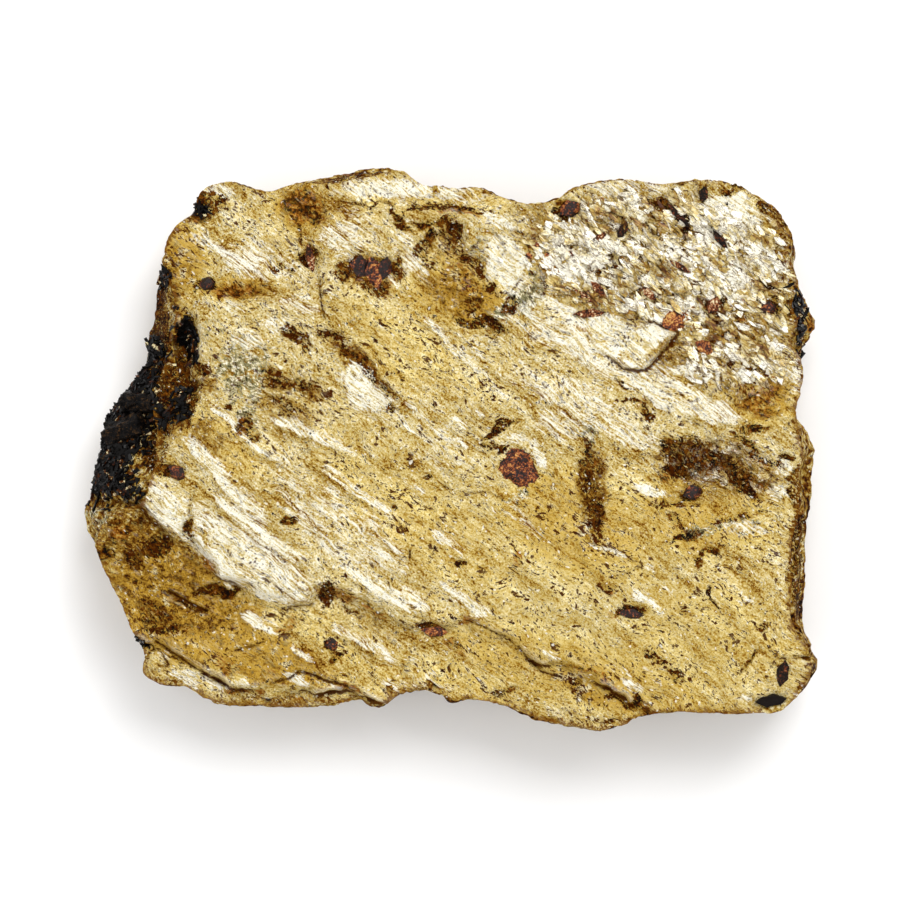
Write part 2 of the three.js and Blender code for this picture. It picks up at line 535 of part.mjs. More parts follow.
// A blade: a long six-sided plate whose one long edge stands a little higher than the other
function buildBlade({ at, half, turn, proud }) {
  const [a, b] = half;
  const outline = [[-a, 0], [-0.7 * a, b], [0.7 * a, b], [a, 0], [0.7 * a, -b], [-0.7 * a, -b]];
  const shape = new THREE.Shape(outline.map(([x, y]) => new THREE.Vector2(x, y)));
  const geometry = new THREE.ExtrudeGeometry(shape, { depth: 1.6, bevelEnabled: false });
  geometry.translate(0, 0, proud - 1.6).rotateX(0.25).rotateZ(THREE.MathUtils.degToRad(turn));
  return geometry.translate(at[0], at[1], faceHeight(...at));
}

function buildPrism({ from, to, radius }) {
  const start = new THREE.Vector3(...from);
  const end = new THREE.Vector3(...to);
  const run = end.clone().sub(start);
  const geometry = new THREE.CylinderGeometry(radius, radius * 1.08, run.length(), 6);
  const turn = new THREE.Quaternion().setFromUnitVectors(new THREE.Vector3(0, 1, 0), run.clone().normalize());
  return geometry.applyQuaternion(turn).translate(...start.lerp(end, 0.5).toArray());
}

function buildLostSheet({ depth, outline }) {
  const shape = new THREE.Shape(outline.map(([x, y]) => new THREE.Vector2(x, y)));
  return new THREE.ExtrudeGeometry(shape, { depth: depth + 5, bevelEnabled: false }).translate(0, 0, -5);
}

function solidOf(geometry) {
  const bare = new THREE.BufferGeometry();
  bare.setAttribute("position", geometry.getAttribute("position"));
  bare.setIndex(geometry.index);
  const merged = mergeVertices(bare, 1e-4);
  return new wasm.Manifold(new wasm.Mesh({
    numProp: 3,
    vertProperties: merged.attributes.position.array,
    triVerts: new Uint32Array(merged.index.array),
  }));
}

function geometryOf(solid) {
  const { numProp, vertProperties, triVerts } = solid.getMesh();
  const positions = new Float32Array((vertProperties.length / numProp) * 3);
  for (let i = 0; i < positions.length / 3; i++) {
    positions.set(vertProperties.subarray(i * numProp, i * numProp + 3), i * 3);
  }
  const geometry = new THREE.BufferGeometry();
  geometry.setAttribute("position", new THREE.BufferAttribute(positions, 3));
  geometry.setIndex(new THREE.BufferAttribute(triVerts, 1));
  const flat = geometry.toNonIndexed();
  flat.computeVertexNormals();
  return flat;
}

let stone = solidOf(buildSlab());
for (const lost of Object.values(LOST_SHEETS)) stone = stone.subtract(solidOf(buildLostSheet(lost)));
for (const garnet of Object.values(GARNETS)) stone = stone.add(solidOf(buildGarnet(garnet)));
for (const blade of Object.values(BLADES)) stone = stone.add(solidOf(buildBlade(blade)));
for (const prism of Object.values(BLACK_PRISMS)) stone = stone.add(solidOf(buildPrism(prism)));

const goldenMica = new THREE.MeshStandardMaterial({ color: 0xc8a968, roughness: 0.45, metalness: 0.25 });
const slab = new THREE.Mesh(geometryOf(stone), goldenMica);
slab.name = "mica_slab";

const part = new THREE.Group();
part.add(slab);

export default part;
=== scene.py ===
"""A slab of golden mica lying face up: layered stone, garnets, blades, black prisms and loose flakes."""

import math

import bpy
import numpy as np
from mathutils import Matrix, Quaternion, Vector
from mathutils.kdtree import KDTree


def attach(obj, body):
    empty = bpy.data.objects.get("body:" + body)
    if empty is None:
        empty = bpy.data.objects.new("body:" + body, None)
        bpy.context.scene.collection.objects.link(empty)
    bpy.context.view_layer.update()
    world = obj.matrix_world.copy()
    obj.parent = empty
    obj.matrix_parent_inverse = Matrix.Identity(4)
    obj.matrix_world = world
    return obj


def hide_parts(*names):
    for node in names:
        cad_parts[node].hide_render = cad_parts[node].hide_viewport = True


bl_info = {
    "name": "Golden mica slab",
    "version": (1, 0, 0),
    "blender": (4, 5, 0),
    "location": "3D View > Sidebar > Mica",
    "description": "Builds a layered slab of golden mica with garnets, on a pale floor",
    "category": "Object",
}

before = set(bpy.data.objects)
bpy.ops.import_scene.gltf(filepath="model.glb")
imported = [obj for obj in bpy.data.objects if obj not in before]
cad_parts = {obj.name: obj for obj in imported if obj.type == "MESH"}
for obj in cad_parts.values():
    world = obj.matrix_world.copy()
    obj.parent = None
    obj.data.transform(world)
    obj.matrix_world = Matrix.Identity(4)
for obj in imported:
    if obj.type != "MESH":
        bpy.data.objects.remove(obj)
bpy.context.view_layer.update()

# Sizes are in millimetres up to the point where a mesh is made
MM = 0.001
FACE_LEVEL = 19.2
GIRDLE = 0.44
RIM_INSET = 0.9
FOOT_INSET = 3.4
BED_BOTTOMS = [0.14, 0.3, 0.42, 0.62, 0.8, 1.0]
WIDEST_BED = 3
BED_STEP = 1.7
BED_BLOCKS = 46
PLACES = 512
CURVE_STEPS = 24
BLADE_ROOT = 1.6
FLOOR_REACH = 3000
RIM_STEPS = [400, 300, 400, 300]
SHEET_FACES = (0.14, 0.86)
FOLD_TURN = math.radians(37)

# The widest outline seen from above, clockwise, one list for each side
TOP_SIDE = [
    (-41.3, 41.2), (-39.6, 42.8), (-35.6, 43.8), (-32, 42.8), (-29, 42.3), (-25, 43.6), (-20, 44.6),
    (-16, 45.3), (-12, 46.1), (-8, 45.6), (-4.6, 43.4), (0, 42.9), (5, 42.8), (9, 41.1), (13, 40.1),
    (17, 41), (20, 42.7), (25, 44), (30, 44), (34, 43.4), (39, 43.9), (44.5, 43.7), (48.5, 42.2),
]
RIGHT_SIDE = [
    (52.2, 40.2), (54.8, 37), (56.2, 33.5), (56.2, 29.5), (57.2, 26), (58.6, 23), (59.6, 20.3),
    (58.4, 18), (57.3, 15.6), (57.4, 12), (57, 9), (56.4, 6), (57.9, 3.4), (59.5, -0.5), (59, -4),
    (58.8, -9), (58.1, -13), (58, -18), (58, -22), (57.7, -27), (58, -29.8), (59.2, -32.6), (59.9, -35.6),
]
BOTTOM_SIDE = [
    (57.8, -39), (55.2, -41.7), (52.5, -43.1), (47, -43.4), (41, -43.2), (35, -43.1), (31, -43.8),
    (27.8, -45.3), (25, -46.1), (20, -45.6), (15, -44.6), (11, -43.2), (7, -41.7), (3, -41.1),
    (0.2, -41.6), (-1.6, -40.3), (-4.5, -39.5), (-8, -40.2), (-11.8, -42.5), (-15, -41.3), (-19, -42),
    (-25, -42.4), (-31, -42.2), (-36.5, -42), (-40, -41), (-43.2, -39), (-46.5, -38.9),
]
LEFT_SIDE = [
    (-50.2, -37), (-50.2, -34.2), (-50.6, -32), (-52.4, -29), (-53.2, -26.4), (-55.2, -22.8), (-56.8, -19),
    (-58.4, -15.4), (-59.9, -10.4), (-58.5, -7.4), (-57.9, -3.6), (-56.8, 0.5), (-56.4, 4.2),
    (-54.6, 7.4), (-51.6, 11.4), (-49.6, 14.6), (-49.5, 17.8), (-48.3, 22), (-47.9, 26), (-47.3, 30),
    (-45.9, 34.8), (-43.4, 37), (-41.8, 38.6),
]
SIDES = [TOP_SIDE, RIGHT_SIDE, BOTTOM_SIDE, LEFT_SIDE]

# Breaks of the face's edge: middle on the outline, reach to each side, how far the face is broken back
BREAKS = [
    (-57, 0, 12, 9), (-48.6, 20, 8, 3.2), (58.8, 20.6, 5.5, 2.8), (59.3, -2.5, 7, 2), (58, -20, 11, 2.4),
    (55, 36.5, 7, 1.4), (-16, 45.4, 6.5, 1.2), (58.6, -37, 4.5, 1),
]

# Sheets that lie on the face: rise and outline, which runs past the slab where its edge ends them
SHEETS = {
    "main": (2, [
        (12, 40.8), (4, 39.3), (-3, 39), (-9, 39.4), (-15, 38.8), (-19.3, 38.3), (-21, 36.2), (-21.6, 33),
        (-21, 30), (-20.8, 27), (-24, 25.5), (-29, 24.6), (-33, 24.4), (-37, 25), (-40, 24.6), (-41.6, 22.3),
        (-42, 19), (-41, 15), (-40.8, 10.5), (-41.2, 6), (-44.8, 4.8), (-45.4, 0.5), (-48, -2.4), (-51.2, -4),
        (-51.4, -7), (-50, -9.4), (-46, -12.8), (-43.2, -14.8), (-40, -16.8), (-37, -20.2), (-33.5, -21.6),
        (-30.5, -23.6), (-27, -24.9), (-22.8, -24.8), (-21.5, -22.6), (-17.5, -22.6), (-13.6, -24.4),
        (-10.6, -27), (-7, -28), (-3.5, -28.2), (2, -27.6), (5, -29.3), (9.4, -30.6), (11.6, -32.8),
        (14.6, -34.4), (18.4, -34.6), (21.4, -36.2), (25, -38.2), (29, -40.6), (32, -43), (33, -60),
        (75, -60), (75, 60), (14, 60),
    ]),
    "lower": (2.4, [
        (-60, -29), (-52.5, -29.6), (-48.4, -31.2), (-45, -32), (-42.2, -34), (-39, -36.6), (-35.6, -38.6),
        (-31, -39), (-27, -38.5), (-22, -38.9), (-16.5, -38.6), (-12.5, -40.2), (-9.5, -41.6), (-8, -60),
        (80, -60), (80, 60), (-80, 60), (-80, -29),
    ]),
    "flaky": (0.7, [
        (39.6, 50), (39.4, 41.5), (38.6, 38.2), (40.4, 36), (44, 34.8), (47.6, 33.2), (51, 32.4), (54, 33),
        (70, 34), (70, 50),
    ]),
    "tongue": (0.5, [
        (-51, -4.2), (-47, -4), (-43, -7), (-41.8, -9.8), (-42.3, -13), (-46, -12.6), (-50, -9.2),
    ]),
}

# Flakes that peel up from their root to their lip: lift, root, lip, outline
LIFTED_FLAKES = {
    "silver_plate": (1.1, (24, 24), (33.5, 14), [
        (17, 24), (23, 23), (28, 21.5), (32, 20), (36.3, 18.3), (34, 15.5), (31, 12.9), (27.5, 13.2),
        (25.5, 15), (22, 16.5), (18, 19.5),
    ]),
    "lens_flake": (0.6, (23, -21), (26, -15.8), [
        (20.2, -14.8), (24, -15.4), (27.5, -16.8), (30.4, -18.6), (27, -20.2), (22, -19.6),
    ]),
    "corner_flake": (0.8, (49, 26.5), (51, 30.6), [
        (46.6, 28.4), (48.4, 30.8), (52.8, 30), (53.2, 27.6), (49.6, 26.6),
    ]),
    "upper_flake": (0.35, (6, 36), (9.5, 27), [
        (4.6, 35), (11.5, 34.5), (12.6, 30), (10.4, 26.4), (7.6, 24.4), (6.2, 27.4), (5.2, 30),
    ]),
}

# Crests of the folds from their upper left ends: height, width, whiteness of the upper flank (silvery mica
# with a painted highlight, as this flank faces the key light), crest
FOLDS = [
    (0.55, 1.2, 0.7, [(-41, 9), (-38, 6), (-34.5, 2.8), (-30.5, -0.2), (-26.5, -2.6), (-22.5, -5)]),
    (0.9, 1.9, 1, [(-44.3, 3.2), (-41, -0.6), (-38, -3.6), (-34.6, -7.6), (-31, -11), (-27, -13.8)]),
    (0.9, 1.7, 0.9, [(-40, -5.4), (-36.5, -9), (-33, -12), (-29, -15.2), (-25, -17.6), (-21, -20)]),
    (1, 2.6, 1, [(-40.6, -10.8), (-37, -14), (-33, -17), (-28.4, -20), (-24.4, -22.6), (-22.2, -24)]),
    (0.5, 1.4, 0.8, [(-40, -14.2), (-36.5, -18.2), (-32.6, -21), (-28.6, -22.8), (-25, -24.4)]),
    (0.7, 1.9, 0.9, [(-50, -6), (-46.8, -8.4), (-43.2, -11)]),
    (0.65, 1.5, 0.8, [(-30.5, 5.2), (-26, 3.6), (-21.5, 1.6), (-17.4, -0.2), (-13, -2.2)]),
    (0.6, 1.4, 0.8, [(-21.6, -2), (-18.4, -5), (-14.6, -7.6), (-11, -10), (-7, -12.8)]),
    (0.45, 1.2, 0.5, [(-30, -3), (-26.5, -5.5), (-23, -7.5), (-19.5, -10.8), (-16.5, -12.8)]),
    (0.8, 1.8, 1, [(-19.5, -17.6), (-15, -20.6), (-11, -23.4), (-7, -26), (-3.4, -27.2)]),
    (0.5, 1.2, 0.8, [(-12.6, -16), (-9.4, -18.8), (-6, -21.6)]),
    (0.6, 1.4, 1, [(-9.4, -22), (-5.8, -24.8), (-2.6, -26.8)]),
    (0.45, 1.3, 0.7, [(-4, -13), (-0.4, -15.4), (4, -18.2)]),
    (0.6, 1.6, 0.8, [(-2.4, -20.8), (1.6, -24.2), (5.2, -26.4)]),
    (0.5, 1.1, 0.8, [(-6, 22), (-3, 19.4), (0, 16.2), (3, 13.8), (5.6, 11.6), (8.2, 10.2)]),
    (0.7, 2.6, 0.5, [(-16, 11.6), (-13, 8.8), (-10.4, 5.4)]),
    (0.6, 1.5, 0.9, [(-34.5, -26), (-31, -28.6), (-27, -30.2)]),
    (0.6, 1.5, 0.7, [(-20.6, -28), (-17, -29.8), (-13.4, -32), (-10.4, -34)]),
    (0.5, 1.2, 0.8, [(-26.4, -31.6), (-23.8, -33.6), (-21.4, -35)]),
    (0.5, 1.3, 0.8, [(28, -22.6), (31, -24.4), (35.4, -27.8)]),
    (0.9, 2.4, 0.7, [(28.6, 11.4), (33, 8.4), (38, 5.6), (43, 4.4)]),
    (0.6, 2, 0.4, [(19, 6), (24, 3), (29, -0.4)]),
    (0.2, 0.8, 0.8, [(-8, 4.2), (-6.6, 3), (-5, 1.6)]),
    (0.2, 0.7, 0.9, [(0.4, 2), (1.6, 0.6), (3.2, -0.8)]),
    (0.2, 0.7, 0.9, [(0.2, 5.2), (1.4, 4), (2.6, 2.8)]),
    (0.2, 0.6, 0.8, [(3.4, 6.4), (4.4, 5.4), (5.2, 4.4)]),
    (0.2, 0.8, 0.8, [(-11, 28), (-9, 26.6), (-7.4, 25)]),
    (0.3, 0.8, 0.9, [(-10.6, -14.4), (-9.4, -15.8), (-8.2, -17.2)]),
    (0.3, 0.8, 0.7, [(-22, -9), (-19.6, -10.6), (-17, -12.4)]),
    (0.3, 0.7, 0.9, [(14.2, -32), (16, -33), (17.8, -33.8)]),
    (0.2, 0.6, 1, [(21.4, -15), (25, -16.2), (29.6, -18.2)]),
    (0.2, 0.6, 0.9, [(30.8, -18.8), (32, -19.3), (33.2, -19.8)]),
    (0.3, 0.9, 0.6, [(10.2, 14.8), (13, 12.2), (16, 10.6)]),
    (0.3, 0.8, 0.7, [(5.4, 10.2), (8, 8.6), (10.4, 6.8)]),
    (0.3, 0.9, 0.6, [(-8, -4.6), (-5.6, -6.6), (-3.4, -8.2)]),
]

# Cracks along the sheets: depth, width, line
CRACKS = [
    (0.9, 0.35, [(-45.2, -23), (-42.5, -24.6), (-39.3, -26.1)]),
    (0.7, 0.35, [(-47.5, -31), (-44, -33.4), (-41, -35.4), (-38.6, -36.6), (-36.4, -38)]),
    (0.7, 0.35, [(-28, -37.4), (-26, -37), (-24.4, -35.8), (-22.5, -36.2), (-19.8, -37.4), (-16.8, -38)]),
    (0.6, 0.3, [(10.9, -31.7), (12.2, -33.4), (14.6, -35.8), (17.8, -36.7)]),
    (0.6, 0.3, [(-21, 27), (-20.8, 24), (-20.2, 21)]),
    (0.45, 1.2, [(-20.4, 18.6), (-16, 15.4), (-12, 11), (-9, 7.6)]),
    (0.6, 0.5, [(-27, 18.4), (-25, 18), (-23, 17.6), (-22.2, 16.4)]),
    (0.5, 0.25, [(-34.6, -32.4), (-32.6, -32), (-30, -31)]),
    (0.5, 0.25, [(-50.4, -34.4), (-49, -34), (-48.6, -32.6), (-47, -32.4), (-46, -34), (-45.4, -35)]),
    (0.4, 0.25, [(-41.6, -8), (-41.9, -10.4), (-41.4, -12.6)]),
    (0.4, 0.25, [(20.4, -33.6), (21.8, -33.8), (23, -34)]),
    (0.5, 0.3, [(3, -27.6), (5, -28.4), (7.4, -29.6), (9.2, -30.2), (10.2, -31.4)]),
    (0.4, 0.25, [(2.4, -7.2), (5, -7), (6.2, -7), (8.4, -8)]),
    (0.5, 0.3, [(52.4, -33.6), (55, -33.6), (57, -33.4), (59, -34)]),
]

# Hollows and swells: middle, half lengths along and across, turn of the long one from +X, depth or rise
HOLLOWS = [
    (-42.7, 17.2, 3.8, 1.5, 80, 3.2), (10.9, -2.9, 4.4, 3.8, 100, 1), (-14.6, 30, 4.2, 2.6, 20, 0.7),
    (-45.5, 12, 6, 3, 60, 1.6), (-40, 38.6, 1.6, 1.4, 0, 1.4), (51.8, -40.6, 2.6, 1.2, 5, 0.9),
    (-37, -22.8, 3.8, 1.3, 8, 0.9), (0.4, 35, 1.5, 1, -40, 0.9), (6.6, 20, 2.4, 1.1, -35, 0.9),
    (-41.8, -12.8, 2.2, 0.9, 100, 0.8), (-22.6, 30.6, 2.6, 1.1, 100, 0.8), (42, -3, 11, 4.5, -14, 0.9),
    (1, 27, 7, 5, -50, 0.7), (22.5, -8, 7, 2.4, 95, 0.4), (-47, -22, 8, 6, 20, 0.9),
    (-34, 12, 5, 3, 100, 0.6),
]
SWELLS = [
    (0, 0, 62, 46, 0, 1.3), (-28, -10, 20, 10, -37, 0.9), (30, -28, 24, 12, -20, 0.5),
    (-34, 34, 14, 7, -20, 0.8),
]

# Places on the underside where the lowest sheets have split away: depth, outline
LOST_SHEETS = [
    (0.9, [(-30, 60), (-26, 30), (-14, 24), (-4, 28), (4, 22), (14, 26), (22, 60)]),
    (1.3, [(-70, -8), (-40, -4), (-30, -12), (-34, -22), (-44, -26), (-70, -30)]),
    (0.7, [(70, 4), (44, 6), (34, -2), (38, -14), (50, -16), (70, -12)]),
]

# Patches of the face, as ellipses: middle, half lengths, turn from +X, strength
# Silvery mica, painted near-white, so its sheen is painted into the colour too
SILVER_SHEEN_PATCHES = [
    (-6, 41.6, 11, 1.7, 0, 0.8), (-18, -12, 14, 5, -37, 0.45), (-6, 4, 14, 4, -37, 0.35),
    (20, 8, 10, 3, -25, 0.55), (26, 14, 9, 4, -20, 0.6), (14, 20, 6, 3, -20, 0.5),
    (-28, 30, 7, 2.4, -30, 0.5), (-43.4, -12.2, 5, 1.3, -42, 1), (-36.8, -18.4, 5.4, 1.5, -42, 1),
    (-29, -22.9, 4.5, 1.2, -24, 0.9), (-46.5, -9.2, 4, 2.2, -40, 0.8), (-38, -12, 6, 2.2, -42, 0.6),
    (-13.5, 9.5, 4.5, 3, -55, 0.8), (-17, 11, 2.6, 2, 0, 0.5), (-35, 31, 8, 2.2, -25, 0.6),
    (-36.5, 41.8, 2.6, 1.3, -20, 0.6), (-24, 23, 4, 1.8, 0, 0.5), (-37, 22.5, 4, 1.5, -10, 0.4),
    (-33, 17.5, 3, 2, 0, 0.5), (-28, 19.3, 2.2, 1.2, -20, 0.7), (-12, 42, 8, 1.6, 5, 0.55),
    (-3.4, 42.2, 2, 0.8, 0, 0.8), (2, 41, 6, 1.4, 0, 0.45), (28, 42.5, 9, 1.5, 0, 0.5),
    (42, 43, 6, 0.8, 0, 0.4), (-17, 34, 4, 3.5, -30, 0.55), (-14, 36.5, 5, 2, -20, 0.4),
    (-6.5, 31, 2.5, 4, 30, 0.5), (9, 29.5, 3.4, 4.6, 20, 0.85), (7.5, 37, 3, 1.5, -20, 0.8),
    (19.4, 28.5, 2, 2.2, 0, 0.7), (14.5, 24, 3, 1, -30, 0.6), (18, 22.5, 5, 1.1, -30, 0.8),
    (18.5, 17.6, 2.4, 1.2, -20, 0.9), (23, 20, 6, 2, -10, 0.85), (30.4, 17.4, 5.6, 2.3, 20, 1),
    (37, 28.5, 2.2, 1.4, -30, 0.9), (42, 28.6, 2.2, 1.2, -5, 0.9), (46.3, 27.5, 1.6, 2.6, 0, 0.7),
    (51, 29, 3, 1.4, -5, 1), (34, 27.3, 2.5, 1.3, -20, 0.7), (46, 38.3, 5, 2.3, -20, 0.85),
    (41.2, 38, 2.8, 1.1, 70, 0.7), (22, 38.5, 2, 1, -50, 0.8), (26, 39, 4, 1, 0, 0.5),
    (43, 25, 3, 1.2, 0, 0.5), (53.5, 12.5, 3.5, 1, -10, 0.6), (56.2, 12.5, 1.3, 4, 0, 0.8),
    (33, 8.4, 4.6, 1.2, -32, 1), (37, 12.3, 3, 0.7, -5, 0.8), (37.5, 9.5, 5, 1, -25, 0.8),
    (42, 6, 5, 1.8, -15, 0.65), (26.5, 3.5, 5, 2, -15, 0.6), (30, 1.5, 4, 1.6, 0, 0.55),
    (18, 3.5, 5, 2.4, -10, 0.5), (14.6, -0.8, 2.2, 0.9, -65, 1), (11, 1.4, 1.5, 0.9, 0, 0.8),
    (32, -6.5, 3, 0.8, -10, 0.9), (52.5, -7, 2.2, 1.5, 0, 0.7), (53.5, -2.8, 1.6, 1.6, -40, 0.8),
    (47.5, -12.6, 4.5, 1.3, 5, 0.45), (30.5, -24.2, 1.6, 1.2, 0, 0.6), (47, -23.8, 2, 0.6, 0, 0.6),
    (34.2, -22.4, 1.3, 0.6, -30, 0.6), (26, -34.6, 4, 0.6, -20, 0.5), (29, -37.6, 3.2, 0.7, -35, 0.6),
    (33, -36.8, 2.6, 0.8, -35, 0.6), (47.5, -40.2, 1.8, 0.4, 0, 0.7), (-12, -31.5, 3.4, 1.1, -38, 0.6),
    (-43, -37, 2.6, 0.9, -20, 0.7), (-38, -37.6, 3.6, 0.7, -25, 0.7), (-33, -38, 2, 0.5, -10, 0.7),
    (-24.5, -37.3, 2, 1, -20, 0.7), (-19, -38, 3, 0.4, -10, 0.6), (-8, -37.6, 4.4, 1.1, 0, 0.55),
    (-1.6, -38.6, 4, 0.8, -5, 0.55), (-4, -36.5, 1.6, 0.8, 0, 0.5), (-46.5, -33.5, 1.6, 1, 0, 0.5),
    (1, -23.6, 1.2, 0.9, 0, 0.8), (3.6, -26, 2, 1.3, -10, 0.8), (-31, -17, 12, 4.2, -37, 0.55),
    (-46, -8.4, 4.6, 2, -37, 0.7), (-17, -18, 5, 1.8, -37, 0.45), (22, 31, 2, 1.6, 0, 0.5),
    (11.5, -11.6, 4, 1.3, -30, 0.4), (9, 11, 3, 1.2, -30, 0.4), (4, 17, 4, 1, -40, 0.4),
]
# The brown at (35, 14.2), under the lifted silvery plate's lower right edge, is its painted shadow
BROWN_PATCHES = [
    (-47, -21, 9, 7, -30, 1), (-41, -27, 8, 3, 0, 1), (-51, -13, 6, 4.6, 20, 1), (-42, -18, 5, 3, -30, 0.9),
    (-39.5, 1.6, 4.6, 2.8, -40, 0.75), (-35, -5.6, 4, 1.4, -35, 0.6), (-46, 20, 3, 8, 0, 1),
    (-44.4, 27.6, 4, 2.4, 5, 0.8), (-45.4, 31.6, 2.2, 1.6, -20, 0.8), (-34, 25.4, 5, 1.2, -5, 0.9),
    (-23.5, 39, 3.6, 3, 0, 0.8), (-27, 33, 3, 2, 0, 0.4), (-14, 13.2, 5.4, 2, -42, 0.75),
    (1, 25, 6, 4, -30, 0.85), (35, 14.2, 5, 3, 30, 0.8), (45, 15.4, 6, 2.4, -10, 0.6),
    (49, 8, 4.6, 3, -10, 0.85), (22.7, -10, 2.4, 5.4, 0, 1), (17, -8.6, 3.6, 3, 0, 0.45),
    (38, -8, 5, 1.6, 0, 0.5), (-33, -36, 4, 1.2, -25, 0.7), (-26, -40.9, 13, 1.2, 0, 0.7),
    (20, -38, 7, 2.4, -20, 0.6), (23, -43.6, 9, 1.6, 0, 0.5), (53, 36, 4, 2, -50, 0.7),
    (55, 28, 1.4, 6, 0, 0.7), (-35.6, -24, 6, 2, -20, 0.6), (-47, -36, 3, 2, 0, 0.6),
    (4, -35, 6, 3, -10, 0.35), (-13, -27.4, 5, 1.2, -40, 0.6), (30, 35, 9, 3, -20, 0.5),
    (29, 30, 5, 2, 20, 0.5), (12, 38, 4, 1.4, 0, 0.4), (-5, 37.8, 8, 1.2, 0, 0.4),
    (-27, 11, 5, 2, -10, 0.4), (41, -2, 9, 3.4, -8, 0.8), (-45, 8, 4, 6, 0, 0.9), (-45, 16, 2.4, 9, 5, 1),
    (-50, -30, 4, 1.2, -20, 0.8), (21, -14, 5, 1.4, 0, 0.35), (-27.6, -5.8, 3, 1.2, -30, 0.4),
    (44, 22, 6, 3, 0, 0.4), (-38.4, -20, 4, 1.2, -40, 0.7), (-13, 28.6, 5, 3.4, 0, 1),
    (-14.6, 13.6, 7.4, 2.2, -44, 1), (-46, 12, 4, 12, 8, 1), (0.5, 32.8, 6.4, 2.4, -46, 0.7),
    (-26, 10.5, 7, 2, -15, 0.8), (-27, 6.5, 7, 1.8, -20, 0.7), (-39.5, 11.6, 2.6, 3, 0, 0.8),
    (4, 6, 5, 2, -30, 0.5), (22.7, -7, 2.8, 8, 3, 0.9), (40, -2, 8, 4, -10, 1), (-46.6, 23, 3, 7, 5, 1),
]
